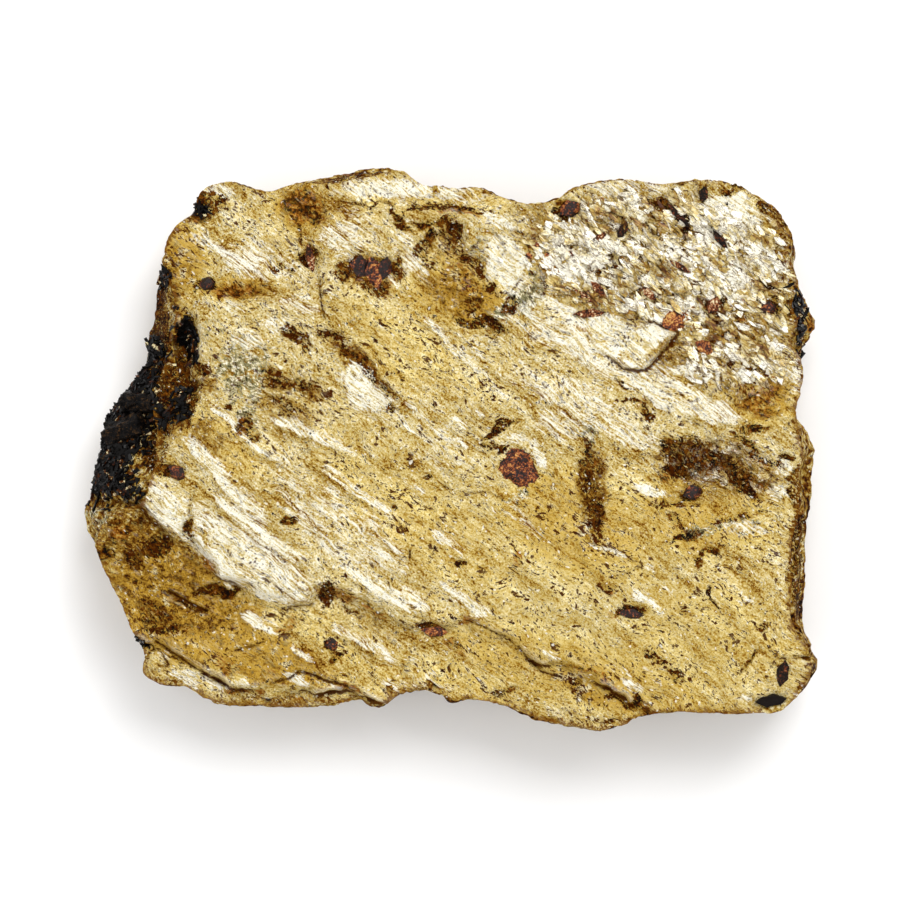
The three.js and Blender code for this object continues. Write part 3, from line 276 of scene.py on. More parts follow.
# Most of these are dark stains; the dark at (-42.5, 17.6) and (-40, 38.8) in deep recesses and at (-50.4,
# -30.9) under the lower ledge is painted shade
DARK_PATCHES = [
    (-47.6, 22, 2, 7, 4, 0.78), (-47.4, 14, 2, 7, 5, 0.85), (26, 29, 2.4, 0.7, 30, 0.62),
    (-47, -27.5, 4.5, 2.2, -30, 0.6), (-50.6, -17.6, 3, 1.6, -50, 0.66), (-47, -15.4, 2.2, 1.6, -30, 0.95),
    (-45.4, 12, 1.4, 9, 6, 0.8), (-46.4, 9, 2.6, 7, 0, 0.7), (-25, 11, 5, 0.9, -15, 0.7),
    (-26, 6.4, 5, 0.8, -20, 0.64), (-0.5, 38.7, 8, 0.5, 0, 0.8), (-13, 39.3, 5, 0.4, -4, 0.65),
    (-43, 10, 1.6, 7, 0, 0.85), (-47.8, 22.4, 1.4, 2.4, 0, 0.8), (55.6, -6, 1.4, 4, 0, 0.6),
    (-47.6, 17, 1.8, 4.6, 8, 0.72), (-45.6, 8, 2.4, 5, 5, 0.78), (-12.6, 25.6, 3, 1.4, 0, 0.62),
    (-17, 28.6, 1.4, 2, 0, 0.8), (-8.6, 28.6, 1.2, 2.2, 10, 0.75), (0.6, 32.6, 5, 1.4, -48, 0.62),
    (-4.4, 31.4, 1.4, 2.6, 20, 0.66), (22.4, -6, 2, 7, 3, 0.6), (38, 0.6, 5, 2, -15, 0.66),
    (3.6, 23.4, 1.6, 1, 0, 0.7), (-40, 38.8, 2.4, 2, 0, 1), (-38.4, 41, 3, 1.2, -20, 0.75),
    (-46.4, 28, 2, 2.8, 0, 1), (-39.1, 26.5, 1.5, 1.4, 0, 0.9), (-42.5, 17.6, 1.7, 4, 8, 1),
    (-42.2, 9, 1.9, 3.6, 0, 1), (-47, 12, 3, 2.6, 0, 0.75), (-39.6, 13, 1.9, 1.2, -20, 0.8),
    (-46, 3, 1.6, 2.4, 0, 0.8), (-48.4, 0.6, 3, 3, 0, 0.7), (-46.6, -3.2, 3.4, 1.4, -25, 0.9),
    (-23, 30.8, 1.4, 2.2, 20, 0.9), (-27, 29.5, 2.6, 0.7, -10, 0.6), (-24.4, 34.6, 0.5, 2, 10, 0.7),
    (-22.6, 38, 2.2, 1.5, -40, 0.6), (-14.4, 29.6, 1.2, 2.2, 0, 1), (-10.9, 29.2, 1, 1.8, 0, 0.9),
    (-16.6, 28.4, 1.3, 1, 0, 0.8), (-8, 36.5, 2.8, 1, -42, 0.9), (-2.5, 36.5, 2.8, 0.7, 8, 1),
    (0.6, 35, 1.7, 1, -50, 1), (4, 29.5, 3, 1, -50, 0.8), (-3.8, 34, 1, 1.6, 0, 0.8),
    (-25, 17.9, 3, 1, -15, 0.85), (-22.6, 16.8, 0.8, 1.6, 20, 0.7), (-36.2, 7, 1, 1, 0, 0.9),
    (-33.2, 3.8, 1.4, 1.8, 0, 0.8), (-27, 10.5, 4, 1.1, -10, 0.6), (-13, 12.4, 6.4, 1, -46, 0.72),
    (-16.8, 15.8, 1.6, 0.8, -30, 0.8), (-19.5, 17.8, 2.2, 0.6, -20, 0.75), (-10.3, 6.8, 0.8, 1.7, 20, 0.8),
    (6.8, 20, 2.5, 0.9, -38, 1), (3, 20.6, 3.2, 1.1, -10, 0.7), (9.8, 22.8, 2, 1.8, 40, 0.8),
    (6, 25.8, 0.9, 0.9, 0, 0.8), (18.5, 38.3, 2.2, 1.5, 10, 1), (11, 34.8, 2.2, 0.6, -10, 0.7),
    (27.5, 35, 1.3, 0.8, 50, 0.9), (34, 39.5, 2.2, 0.8, -40, 0.95), (37, 37, 2.8, 0.8, -48, 0.95),
    (37, 42.4, 1.3, 0.5, 0, 1), (40.6, 40.9, 0.8, 1.2, 0, 1), (46, 41.5, 2.6, 1, 0, 0.8),
    (43.2, 33.7, 1.9, 0.6, -52, 0.9), (51.5, 39, 1.8, 1.2, -40, 0.8), (53, 36.5, 2.2, 1, -45, 0.85),
    (55.2, 35, 0.8, 1.6, 0, 0.7), (31, 25.7, 1.9, 0.9, -40, 0.9), (35.5, 25, 2.6, 0.7, -15, 0.7),
    (42.3, 23.2, 1.5, 1.2, 40, 0.9), (51, 25.6, 2.1, 0.8, -5, 0.9), (54.6, 22.6, 1.3, 1.6, 0, 1),
    (51.3, 22.6, 1.2, 1, 0, 0.8), (56.6, 21, 5.6, 1, 97, 1), (44, 20.5, 4, 1, -5, 0.6),
    (45, 18, 5.2, 0.5, 0, 0.7), (48, 12.7, 5, 0.6, -10, 0.6), (28.5, 7.5, 1.6, 0.5, -20, 0.8),
    (31.5, 5.8, 1.7, 0.6, -40, 0.8), (27, 10.2, 1.5, 0.5, -10, 0.8), (22.1, -2, 1.3, 3.6, 4, 0.66),
    (22.6, -5.2, 1.7, 2.4, 0, 0.75), (23.2, -10.4, 1.8, 4.8, 3, 0.66), (24, -12, 0.8, 3.6, 0, 0.6),
    (8, 3.2, 3.5, 0.8, 30, 1), (7, 0, 2.4, 0.8, 0, 0.9), (39.6, -1.6, 6.4, 2.4, -12, 0.72),
    (45, -3.4, 5, 1.6, -20, 0.66), (50, -1.4, 4, 0.8, -20, 0.7), (34.6, 0.8, 2, 0.8, -20, 0.7),
    (36, -3.4, 2.2, 1, 0, 0.9), (47.4, 1.2, 3, 0.7, -25, 0.8), (49, 3, 1.9, 1.2, 0, 0.7),
    (54.2, -1.2, 1.5, 0.7, 0, 1), (54.7, -4.8, 1, 0.5, 0, 1), (54.9, -7, 0.9, 0.6, 0, 1),
    (47, -6.4, 3.4, 1.1, -38, 1), (38.8, -7, 1.6, 1.2, 0, 1), (36, -8.8, 4.2, 0.8, -5, 0.7),
    (37, -14, 3.2, 0.8, 18, 0.85), (36, -11.6, 2.2, 1, -40, 0.6), (46, -10.8, 6, 0.8, 12, 0.55),
    (41.6, -16.2, 1.8, 0.9, -10, 0.9), (39.7, -17.5, 0.9, 1.6, 0, 0.8), (55.8, -17, 1.7, 8, 0, 0.66),
    (56.6, -24, 1.3, 4.2, 0, 0.8), (56.5, -12.4, 1.5, 2.2, 0, 0.9), (28.8, -26.3, 2.6, 1, -5, 1),
    (25.5, -22.5, 1.5, 0.9, -20, 0.75), (37.5, -26, 1.7, 1, 0, 0.5), (42.5, -24.8, 2.3, 0.25, 106, 0.9),
    (33, -33.6, 2, 0.8, -20, 0.7), (36, -36, 1.8, 0.6, -40, 0.8), (48, -34.5, 3, 0.4, 50, 0.85),
    (50, -28.2, 1.8, 0.8, 10, 0.7), (57.2, -33.6, 2.2, 0.3, 0, 0.95), (59, -36, 0.7, 1.6, 0, 0.9),
    (56.8, -39, 1.1, 1, -40, 0.9), (30, -40, 0.8, 1.5, -20, 1), (31.6, -42.6, 2.2, 0.7, -20, 0.9),
    (27.5, -40.4, 2.8, 0.5, -10, 0.8), (26, -44.2, 1.8, 0.5, 0, 0.8), (19.4, -38, 1.3, 1.5, 0, 0.6),
    (8.5, -38.8, 2.2, 0.7, 0, 0.6), (-3, -29, 2.2, 0.8, -5, 1), (1.2, -32.4, 1.2, 0.8, 0, 0.6),
    (-19, -31.3, 1.1, 1, 0, 1), (-17.4, -32.8, 1.5, 0.6, 0, 0.85), (-19.8, -23.6, 1.2, 2, 0, 0.9),
    (-16, -25.5, 1.4, 0.4, -10, 0.8), (-18.5, -34.3, 0.9, 0.7, 0, 0.8), (-37, -22.8, 3.7, 1.1, 5, 1),
    (-42.3, -24.8, 3.4, 0.4, -28, 1), (-48, -15.8, 1.7, 1.5, 0, 0.95), (-46.3, -14.2, 1.4, 0.9, 30, 0.9),
    (-56, -16.5, 1.2, 1.8, 0, 0.8), (-54, -11.4, 0.9, 0.8, 0, 0.7), (-46, -28.8, 4, 0.8, -5, 0.75),
    (-50.4, -30.9, 2.8, 0.7, -30, 1), (-41.6, -12.9, 0.9, 1.7, 0, 0.85), (-25.4, -11.6, 1.3, 1, 0, 0.8),
    (-4.2, -4.4, 1.1, 0.4, 20, 0.9), (-6.7, -16.5, 0.4, 1, 0, 0.9), (1.8, -18.6, 0.9, 0.5, 0, 0.9),
    (-46, -38.3, 3.6, 0.7, 0, 0.8), (-11.4, -41.9, 1.4, 0.5, 10, 0.9), (0, -40.9, 1.8, 0.7, 0, 0.9),
    (-4.4, -38.9, 1.4, 0.4, 0, 0.7), (-16, 44.4, 3.6, 0.7, 18, 0.9), (-29, 40.2, 1.4, 0.4, 10, 0.7),
    (-36.5, 39.2, 1.4, 0.8, 0, 0.6), (-31.6, 1.8, 0.8, 0.6, 0, 0.7), (-0.7, -5.8, 0.9, 0.3, 0, 0.9),
    (-9, -9.2, 0.6, 0.6, 0, 0.8), (14, -33, 0.3, 0.6, 0, 0.7), (5.8, 18.4, 1.4, 0.5, -30, 0.7),
    (23.5, 28.8, 1, 1, 0, 0.6),
]
RUST_PATCHES = [
    (-23.4, 38.6, 3.4, 3, -20, 1), (-35, 25.2, 4.4, 1.3, 0, 1), (-48.4, 15.4, 1.6, 5, 6, 1),
    (-47, 6, 1.6, 4, 0, 0.9), (-12.2, 26, 3.4, 1.6, 0, 0.8), (1, 30, 3.4, 2.6, -40, 0.6),
    (-40.5, 37, 1.7, 0.7, -10, 0.9), (-47.6, 14, 1.2, 2.8, 0, 0.8), (-51, 8, 2, 1.6, 0, 0.7),
    (-53.4, -13.2, 1.6, 1.1, 0, 0.9), (-38.5, -18.6, 2.4, 1.2, -30, 0.7),
    (-18.6, -23.4, 3.4, 1.1, -15, 0.85), (-12.8, -25.8, 2.8, 0.6, -45, 0.9), (2, -27.8, 2, 0.5, -5, 1),
    (-0.5, -31.8, 1, 0.9, 0, 0.8), (1.5, -33, 1.2, 1, 0, 0.6), (-36, -35.2, 3, 1, -30, 0.8),
    (-26, -28, 2.5, 0.6, 20, 0.85), (-33, -39.3, 4.4, 0.5, -5, 1), (-16, -38.9, 3.4, 0.6, -25, 1),
    (-10.5, -41, 1.8, 0.5, -10, 0.9), (-22, -40.5, 4.4, 0.8, 0, 0.6), (25, -37.6, 6, 0.8, -32, 0.8),
    (29, -40.4, 3.4, 0.9, -15, 0.9), (15.4, -44, 3.2, 0.5, -5, 0.9), (26.4, -26.3, 1.2, 0.7, 0, 0.9),
    (10.3, -17, 0.9, 1, 0, 1), (49, 8.2, 4, 2.8, -15, 0.75), (52, 8.6, 1.8, 1.6, 0, 0.8),
    (30.8, 6.6, 1.7, 1, -40, 0.6), (1.5, 38.3, 4, 0.8, 0, 0.9), (13.2, 32.4, 1, 0.6, 0, 0.8),
    (57.2, 3.6, 0.7, 1.3, 0, 1), (56.2, -9.6, 0.9, 0.8, 0, 1), (58.6, 20.3, 1, 2.6, 0, 0.9),
    (34.3, -4.2, 1.1, 0.6, 0, 0.9), (50, -5.6, 0.7, 0.9, 0, 0.9), (49, -2, 2.4, 0.7, -25, 0.7),
    (52.2, 39.6, 1.6, 0.7, -40, 0.8), (-4, 22, 1, 0.5, 0, 0.5), (3, 26, 2.4, 1.4, -20, 0.7),
    (39, 14.6, 2.4, 1, 0, 0.6), (-14.6, 14.6, 2.4, 1, -40, 0.6), (21, 19.4, 1.6, 0.6, -40, 0.7),
    (24, 37, 3, 0.8, -20, 0.5), (31, 38.4, 2.4, 1, -20, 0.6), (-28.6, -35.4, 2.6, 0.7, 10, 0.5),
    (-46.6, -38, 2.8, 0.6, 0, 0.7), (14.6, -34.6, 2.6, 0.4, -15, 0.7), (-44.4, 6.4, 1.4, 0.8, 0, 0.7),
]
GREY_PATCHES = [
    (-33.4, 12.6, 4.4, 5.6, 0, 0.82), (-33, 5, 2, 2.8, 0, 0.8), (11.4, 24.4, 6.4, 2, 38, 1),
    (5, 33, 2, 3, 0, 0.6), (-38.5, 19.5, 2.2, 1.2, 0, 0.5), (12, 23.8, 5.6, 1.7, 38, 1),
    (15, 26.6, 2.4, 1, 38, 0.9), (22.3, 1.6, 1.6, 3.2, 0, 0.6), (40, -13, 5.4, 1, 18, 0.8),
    (47, -12, 4.4, 1.4, 12, 0.55), (25.8, 29.3, 2.6, 1, 30, 1), (33, 33.8, 3.2, 1.7, -20, 0.8),
    (11, -8, 1.8, 1.3, 0, 0.7), (45, 21.6, 3.2, 1.8, 0, 0.6), (-18.8, 32.5, 0.8, 1.6, 0, 0.7),
    (-25, 44, 2, 1, 0, 0.4), (-57, -11, 2.4, 1.6, 0, 0.6), (-6, 6.6, 3, 1.2, -30, 0.4),
    (-54, -24, 1.6, 3, 30, 0.5),
]
GOLD_PATCHES = [
    (1.4, 24.8, 8, 3.8, -20, 1), (-24, 38.6, 4.4, 4, 0, 1), (-34, 25.6, 7, 2.4, 0, 1),
    (-44, 30, 5, 7, 0, 0.9), (-29, -34, 12, 5, -12, 1), (-46, -22, 10, 8, -30, 1),
    (24, -38, 10, 4, -20, 0.9), (51, 8, 5, 3.4, 0, 1), (-42, -27, 15, 9, -20, 1),
    (20, -12, 14, 9, -20, 0.8), (40, -10, 12, 8, 0, 0.8), (-5, -12, 20, 7, -37, 0.5),
    (20, -36, 26, 6, -15, 0.75), (-20, -33, 16, 7, -20, 0.55), (-23, 38, 6, 5, 0, 0.7),
    (0, 25, 8, 6, 0, 0.8), (31, 34, 10, 5, 0, 0.5), (-37, 1, 9, 4, -37, 0.7), (-45, 26, 5, 9, 0, 0.7),
    (-8, 16, 12, 5, -30, 0.5), (50, 8, 8, 5, 0, 0.7), (-2, 40, 16, 3, 0, 0.5), (-50, -18, 9, 8, 0, 0.8),
    (5, -37, 12, 5, 0, 0.6), (42, -30, 15, 11, 0, 0.45),
]
FLAKY_PATCHES = [
    (34, 30, 22, 11, -8, 1), (46, 14, 10, 6, -10, 0.8), (44, -3, 12, 5, -10, 0.7), (12, 33, 9, 6, 0, 0.5),
    (50, 26, 6, 12, 0, 0.6), (0, 30, 6, 7, 0, 0.4),
]
CALM_PATCHES = [
    (27, -28, 24, 13, -15, 1), (-4, -8, 18, 8, -37, 0.5), (-14, 21, 10, 5, -30, 0.5),
]
# Most of this is black mica; the black at (-42.4, 17.4) and (-40.2, 38.9) in deep recesses and at (-50.6,
# -31) under the lower ledge is painted shade
BLACK_PATCHES = [
    (-54.6, 2, 4.6, 9, -20, 1), (-55, -5.6, 4, 2, 0, 1), (-50.6, 9.6, 2.6, 5, -30, 1),
    (56.6, 21, 5, 0.8, 97, 1), (-42.4, 17.4, 1.1, 3.4, 8, 1), (-50.6, -31, 2, 0.5, -30, 0.8),
    (-40.2, 38.9, 1.6, 1, 0, 0.9), (-46.8, 28, 0.9, 1.9, 0, 0.9), (-48.2, 16, 1.2, 2.2, 0, 0.85),
    (-43, 7.6, 1.4, 2.6, 0, 0.75), (-46, 5.4, 1.5, 1.5, 0, 0.7),
]

# Garnets: middle, half widths along and across, turn, how far it stands out, how orange it is
GARNETS = {
    "great": (11.2, -3.1, 4.3, 3.4, 100, 1.2, 0.5), "dark_left": (-14.6, 29, 2.4, 1.6, 80, 0.5, 0),
    "dark_middle": (-12.2, 28.2, 2.6, 1.4, 105, 0.55, 0.5), "dark_right": (-10.6, 28.9, 1.9, 1.3, 75, 0.5, 0),
    "orange": (36, 20.6, 2.2, 2, 20, 0.7, 1), "orange_small": (40.7, 16.3, 1.6, 1.1, -30, 0.6, 0.8),
    "corner_bead": (-39.1, 26.4, 1.3, 1.2, 0, 0.8, 0.1),
    "shoulder_bead": (-43.8, -3.8, 1.6, 1.2, -40, 0.8, 0.3),
    "lower_bead": (-19, -31.4, 1.1, 1, 10, 0.5, 0.2), "right_bead": (51, 22.6, 1.4, 1.1, 10, 0.6, 0.2),
    "upper_bead": (19.2, 38.5, 1.7, 1.4, 30, 0.6, 0.3), "dark_eye": (28.9, -26.4, 2, 0.8, -6, 0.3, 0.1),
    "lower_eye": (-2.8, -29.1, 2.2, 1, -8, 0.3, 0.8), "dark_bead": (38.8, -7, 1.5, 1.2, 20, 0.6, 0.1),
    "speck_one": (12.5, 30.9, 0.7, 0.6, 10, 0.3, 0.6), "speck_two": (15.5, 31.2, 0.5, 0.4, 30, 0.25, 0.6),
    "speck_three": (17.2, 28.2, 0.6, 0.5, 60, 0.3, 0.5), "speck_four": (19.3, 31.4, 0.7, 0.5, -20, 0.3, 0.6),
    "speck_five": (13.8, 32.6, 0.6, 0.5, 20, 0.3, 0.7), "speck_six": (3.1, 26.2, 0.6, 0.5, 0, 0.3, 0.5),
}

# Blades of brown mica: middle, half lengths, turn, how far it stands out
BLADES = {
    "red_long": (22.2, 21.7, 2.6, 0.75, 2, 0.5), "red_short": (23.7, 25.6, 1.9, 0.7, -48, 0.5),
    "brown_near": (21.2, 24.6, 2, 0.6, -38, 0.4), "red_high": (23.9, 33.9, 1.5, 0.6, 38, 0.4),
    "dark_curl": (27.6, 35, 1.7, 0.8, 60, 0.4),
    "dark_red": (31.8, 24.9, 1.6, 0.7, -45, 0.5), "thin": (36.8, 29.2, 2, 0.5, -32, 0.4),
    "long_dark": (36.6, 37.4, 2.8, 0.6, -48, 0.5), "dark_right": (43.2, 33.6, 1.9, 0.6, -52, 0.5),
    "dark_knot": (42.2, 23, 1.6, 1.1, 60, 0.5), "rim_black": (40.6, 40.8, 1.3, 0.8, 80, 0.4),
    "upper_left": (-22.5, 30.6, 2.4, 0.8, 100, 0.7), "corner": (53.3, -36, 2.2, 1.1, 76, 0.5),
    "black_lens": (51.4, -40.3, 2.5, 1.05, 4, 1.7),
}

# A blade's outline in shares of its half lengths
BLADE_OUTLINE = [(-1, 0), (-0.3, -0.9), (0.6, -0.6), (1, 0.2), (0.2, 1), (-0.6, 0.6)]

# How light the blades are that aren't red-brown
DARK_BLADES = {
    "corner": 0.05, "dark_curl": 0.1, "long_dark": 0.1, "dark_right": 0.1, "rim_black": 0,
    "black_lens": -0.9,
}

# Black prisms on the broken shoulder: from, to, radius
BLACK_PRISMS = [
    ((-57, -5.9, 13.2), (-50.6, -5.2, 17.2), 1.8), ((-55.6, 2.2, 13.4), (-49.6, 4.2, 17.4), 2.1),
    ((-53.2, 7.6, 14.2), (-47.6, 7.2, 17.6), 1.7), ((-56.6, -1.9, 13), (-52.2, -1.1, 16.4), 1.4),
]

# The stage, in metres: the middle of what the camera sees, and each light's place and size
VIEW_MIDDLE = (-0.00008, -0.00016, 0.0115)
SENSOR_WIDTH_MM = 36
KEY_LIGHT = ((0.16, 0.33, 0.64), 0.36)
FILL_LIGHT = ((-0.36, -0.2, 0.6), 0.8)
FILL_SHARE = 0.36


def srgb(red, green, blue):
    """The linear colour of one read off a screen, from 0 to 255."""
    shares = [c / 255 for c in (red, green, blue)]
    return tuple(((c + 0.055) / 1.055) ** 2.4 if c > 10 / 255 else c / 12.92 for c in shares)


def smooth(t):
    t = np.clip(t, 0, 1)
    return t * t * (3 - 2 * t)


def chance(i, j, seed):
    """A number from 0 to 1 that is settled for each whole i, j and seed."""
    mixed = (np.int64(1) * i * 374761393 + np.int64(1) * j * 668265263 + seed * 1274126177) & 0xFFFFFFFF
    mixed = ((mixed ^ (mixed >> 13)) * 1274126177) & 0xFFFFFFFF
    return (mixed ^ (mixed >> 16)) / 0xFFFFFFFF


def noise(u, v, seed, octaves=1):
    """Smooth noise from 0 to 1, with finer octaves of half the strength each."""
    total, weight, size = 0, 0, 1
    for octave in range(octaves):
        i, j = np.floor(u), np.floor(v)
        a, b = smooth(u - i), smooth(v - j)
        i, j = i.astype(np.int64), j.astype(np.int64)
        corner = [chance(i + di, j + dj, seed + octave) for dj in (0, 1) for di in (0, 1)]
        low = corner[0] * (1 - a) + corner[1] * a
        high = corner[2] * (1 - a) + corner[3] * a
        total = total + size * (low * (1 - b) + high * b)
        weight += size
        size /= 2
        u, v = u * 1.86 + v * 0.74, v * 1.86 - u * 0.74
    return total / weight


def facets(u, v, seed):
    """Small tilted plates, one for each cell: a height from about -0.8 to 0.8."""
    i, j = np.floor(u).astype(np.int64), np.floor(v).astype(np.int64)
    nearest = np.full(u.shape, np.inf)
    height = np.zeros(u.shape)
    for di in (-1, 0, 1):
        for dj in (-1, 0, 1):
            a, b = i + di, j + dj
            du = u - a - chance(a, b, seed)
            dv = v - b - chance(a, b, seed + 1)
            far = du * du + dv * dv
            tilt = (chance(a, b, seed + 2) - 0.5) * du + (chance(a, b, seed + 3) - 0.5) * dv
            rise = chance(a, b, seed + 4) - 0.5 + 1.7 * tilt
            closer = far < nearest
            height[closer] = rise[closer]
            nearest[closer] = far[closer]
    return height


def along_folds(x, y):
    """How far along the folds and across them a place is."""
    c, s = math.cos(FOLD_TURN), math.sin(FOLD_TURN)
    return x * c - y * s, x * s + y * c


def near_line(line, x, y):
    """Distance to a line, side of it, how far along it, and its length."""
    best = np.full(x.shape, np.inf)
    side = np.ones(x.shape)
    along = np.zeros(x.shape)
    run = 0
    for (ax, ay), (bx, by) in zip(line, line[1:]):
        dx, dy = bx - ax, by - ay
        length = math.hypot(dx, dy)
        t = np.clip(((x - ax) * dx + (y - ay) * dy) / length**2, 0, 1)
        far = np.hypot(x - ax - t * dx, y - ay - t * dy)
        closer = far < best
        best[closer] = far[closer]
        side[closer] = np.where(dx * (y - ay) - dy * (x - ax) >= 0, 1, -1)[closer]
        along[closer] = (run + t * length)[closer]
        run += length
    return best, side, along, run


def depth_inside(outline, x, y):
    """How far a place is inside an outline: negative outside."""
    inside = np.zeros(x.shape, bool)
    for (ax, ay), (bx, by) in zip(outline, outline[1:] + outline[:1]):
        if ay != by:
            inside ^= ((ay > y) != (by > y)) & (x < (bx - ax) * (y - ay) / (by - ay) + ax)
    far = near_line(outline + outline[:1], x, y)[0]
    return np.where(inside, far, -far)


def mound(middle_x, middle_y, half_along, half_across, turn, x, y):
    """A round hump, 1 in the middle."""
    a = math.radians(turn)
    dx, dy = x - middle_x, y - middle_y
    along = (dx * math.cos(a) + dy * math.sin(a)) / half_along
    across = (dy * math.cos(a) - dx * math.sin(a)) / half_across
    return np.exp(-np.minimum(along**2 + across**2, 50))


def ragged_place(x, y, amount=1):
    """Places moved about by up to a millimetre or two, so that what is drawn there gets ragged."""
    moves = [3.2 * amount * (noise(x / 2.6, y / 2.6, seed, 4) - 0.5) for seed in (201, 205)]
    return x + moves[0], y + moves[1]


def patch_field(patches, x, y):
    """The strength of the strongest patch at each place, which fades out around the patch."""
    x, y = ragged_place(x, y)
    field = np.zeros(x.shape)
    for px, py, half_along, half_across, turn, strength in patches:
        reach = 2 * max(half_along, half_across)
        near = (np.abs(x - px) < reach) & (np.abs(y - py) < reach)
        if not near.any():
            continue
        hump = mound(px, py, half_along, half_across, turn, x[near], y[near])
        field[near] = np.maximum(field[near], strength * smooth((hump - 0.06) / 0.6))
    return field


def fold_heights(x, y):
    """The folds' height, and how far each place is on an upper flank, which is painted white: silvery mica
    and a painted highlight where the flank faces the key light.
    """
    x, y = ragged_place(x, y, 0.35)
    height = np.zeros(x.shape)
    white = np.zeros(x.shape)
    for rise, width, whiteness, crest in FOLDS:
        points = np.array(crest)
        low, high = points.min(axis=0) - 3 * width, points.max(axis=0) + 3 * width
        near = (x > low[0]) & (x < high[0]) & (y > low[1]) & (y < high[1])
        if not near.any():
            continue
        far, side, along, length = near_line(crest, x[near], y[near])
        ends = smooth(along / (0.3 * length)) * smooth((length - along) / (0.3 * length))
        reach = np.where(side > 0, width, width / 2)
        height[near] += 0.85 * rise * ends * np.exp(-((far / reach) ** 2))
        flank = np.where(side > 0, np.exp(-((far / (1.05 * width)) ** 2)), 1 - smooth(far / (0.35 * width)))
        tips = smooth(along / (0.2 * length)) * smooth((length - along) / (0.3 * length))
        white[near] = np.maximum(white[near], whiteness * flank * tips)
    return height, white


def inside_sheet(name, x, y):
    """How far a place is inside a sheet's ragged outline."""
    ragged_x = x + 1.5 * (noise(x / 2.6, y / 2.6, 11, 3) - 0.5)
    ragged_y = y + 1.5 * (noise(x / 2.6, y / 2.6, 15, 3) - 0.5)
    return depth_inside(SHEETS[name][1], ragged_x, ragged_y)


def worn_edges(x, y):
    """Where the sheets' edges are worn to slopes: 0 where they are sharp."""
    upper_left = smooth((y - 14) / 8) * smooth((14 - x) / 8)
    lower_left = smooth((-18 - x) / 6) * smooth((-4 - y) / 6)
    left = smooth((-36 - x) / 4) * smooth(y / 4)
    return smooth((noise(x / 7, y / 7, 19, 2) - 0.4) / 0.25) + upper_left + 0.4 * lower_left + 0.8 * left


def sheet_heights(x, y):
    """The sheets and peeled flakes, with ragged edges."""
    height = np.zeros(x.shape)
    worn = worn_edges(x, y)
    for name, (rise, _) in SHEETS.items():
        height += rise * smooth(inside_sheet(name, x, y) / (0.45 + 2.4 * worn) + 0.5)
    near_x, near_y = ragged_place(x, y, 0.25)
    for lift, root, lip, outline in LIFTED_FLAKES.values():
        inside = depth_inside(outline, near_x, near_y)
        ax, ay = lip[0] - root[0], lip[1] - root[1]
        climb = ((x - root[0]) * ax + (y - root[1]) * ay) / (ax**2 + ay**2)
        height += lift * smooth(climb) * smooth(inside / 0.35 + 0.5)
    return height


def ledge_shade_lines(x, y):
    """Painted shade: dark lines at the foot of the sheets' edges and of the peeled flakes, on the steep side
    of the folds' creases and along the cracks.
    """
    line = np.zeros(x.shape)
    sharp = 1 - 0.75 * smooth(worn_edges(x, y))
    for name, reach in (("main", 0.32), ("lower", 0.36), ("tongue", 0.25)):
        line = np.maximum(line, np.exp(-np.minimum(((inside_sheet(name, x, y) + 0.4) / reach) ** 2, 50)))
    line *= sharp
    broken = smooth((noise(x / 2.4, y / 2.4, 33, 2) - 0.36) / 0.26)
    wavy_x, wavy_y = ragged_place(x, y, 0.35)
    for rise, width, _, crest in FOLDS:
        far, side, along, length = near_line(crest, wavy_x, wavy_y)
        ends = smooth(along / (0.2 * length)) * smooth((length - along) / (0.2 * length))
        crease = np.exp(-np.minimum(((far - 0.5 * width) / 0.26) ** 2, 50)) * (side < 0)
        line = np.maximum(line, (0.2 + 0.5 * rise) * ends * crease * broken)
    near_x, near_y = ragged_place(x, y, 0.25)
    for lift, root, lip, outline in LIFTED_FLAKES.values():
        ax, ay = lip[0] - root[0], lip[1] - root[1]
        climb = smooth(((x - root[0]) * ax + (y - root[1]) * ay) / (ax**2 + ay**2))
        edge = (depth_inside(outline, near_x, near_y) + 0.3) / 0.3
        line = np.maximum(line, lift**0.5 * climb * np.exp(-np.minimum(edge**2, 50)))
    for depth, width, crack in CRACKS:
        far = near_line(crack, x, y)[0] / min(max(0.7 * width, 0.22), 0.4)
        line = np.maximum(line, (0.3 + 0.8 * depth) * min(1, 0.5 / width) * np.exp(-np.minimum(far**2, 50)))
    return line


def fine_relief(x, y):
    """The small relief: shingled sheets, crinkles along the folds, flaky plates and rough broken stone."""
    along, across = along_folds(x, y)
    across = across + 2.2 * (noise(x / 9, y / 9, 21, 2) - 0.5)
    calm = patch_field(CALM_PATCHES, x, y)
    brown = patch_field(BROWN_PATCHES, x, y)
    flaky = patch_field(FLAKY_PATCHES, x, y)
    dark = patch_field(DARK_PATCHES, x, y)
    shingle = 8 * noise(along / 26, across / 9, 31, 3)
    step = shingle - np.floor(shingle)
    relief = 0.3 * (smooth((step - 0.86) / 0.14) - step) * (1 - 0.5 * calm)
    crinkle = noise(along / 8, across / 0.9, 41, 2) - 0.5
    relief += 0.34 * crinkle * (1 - 0.65 * calm)
    relief += 0.1 * (noise(x / 0.8, y / 0.8, 51, 2) - 0.5)
    relief += 0.75 * flaky * facets(along / 2.4, across / 1.2, 61)
    relief += 0.4 * flaky * facets(along / 1.1, across / 0.7, 71)
    relief += 1.5 * brown * (noise(x / 3.2, y / 3.2, 81, 4) - 0.5) * (1 - calm)
    relief -= 0.45 * dark * (0.4 + noise(x / 1.1, y / 1.1, 91, 2))
    return relief


def face_height(x, y, fine=True):
    """How high the face is above the surface that the slab lies on."""
    z = np.full(x.shape, FACE_LEVEL, float)
    for px, py, half_along, half_across, turn, rise in SWELLS:
        z += rise * mound(px, py, half_along, half_across, turn, x, y)
    z += sheet_heights(x, y) + fold_heights(x, y)[0]
    for depth, width, line in CRACKS:
        z -= depth * np.exp(-np.minimum((near_line(line, x, y)[0] / width) ** 2, 50))
    moved = ragged_place(x, y)
    for px, py, half_along, half_across, turn, depth in HOLLOWS:
        z -= depth * mound(px, py, half_along, half_across, turn, *moved)
    return z + fine_relief(x, y) if fine else z


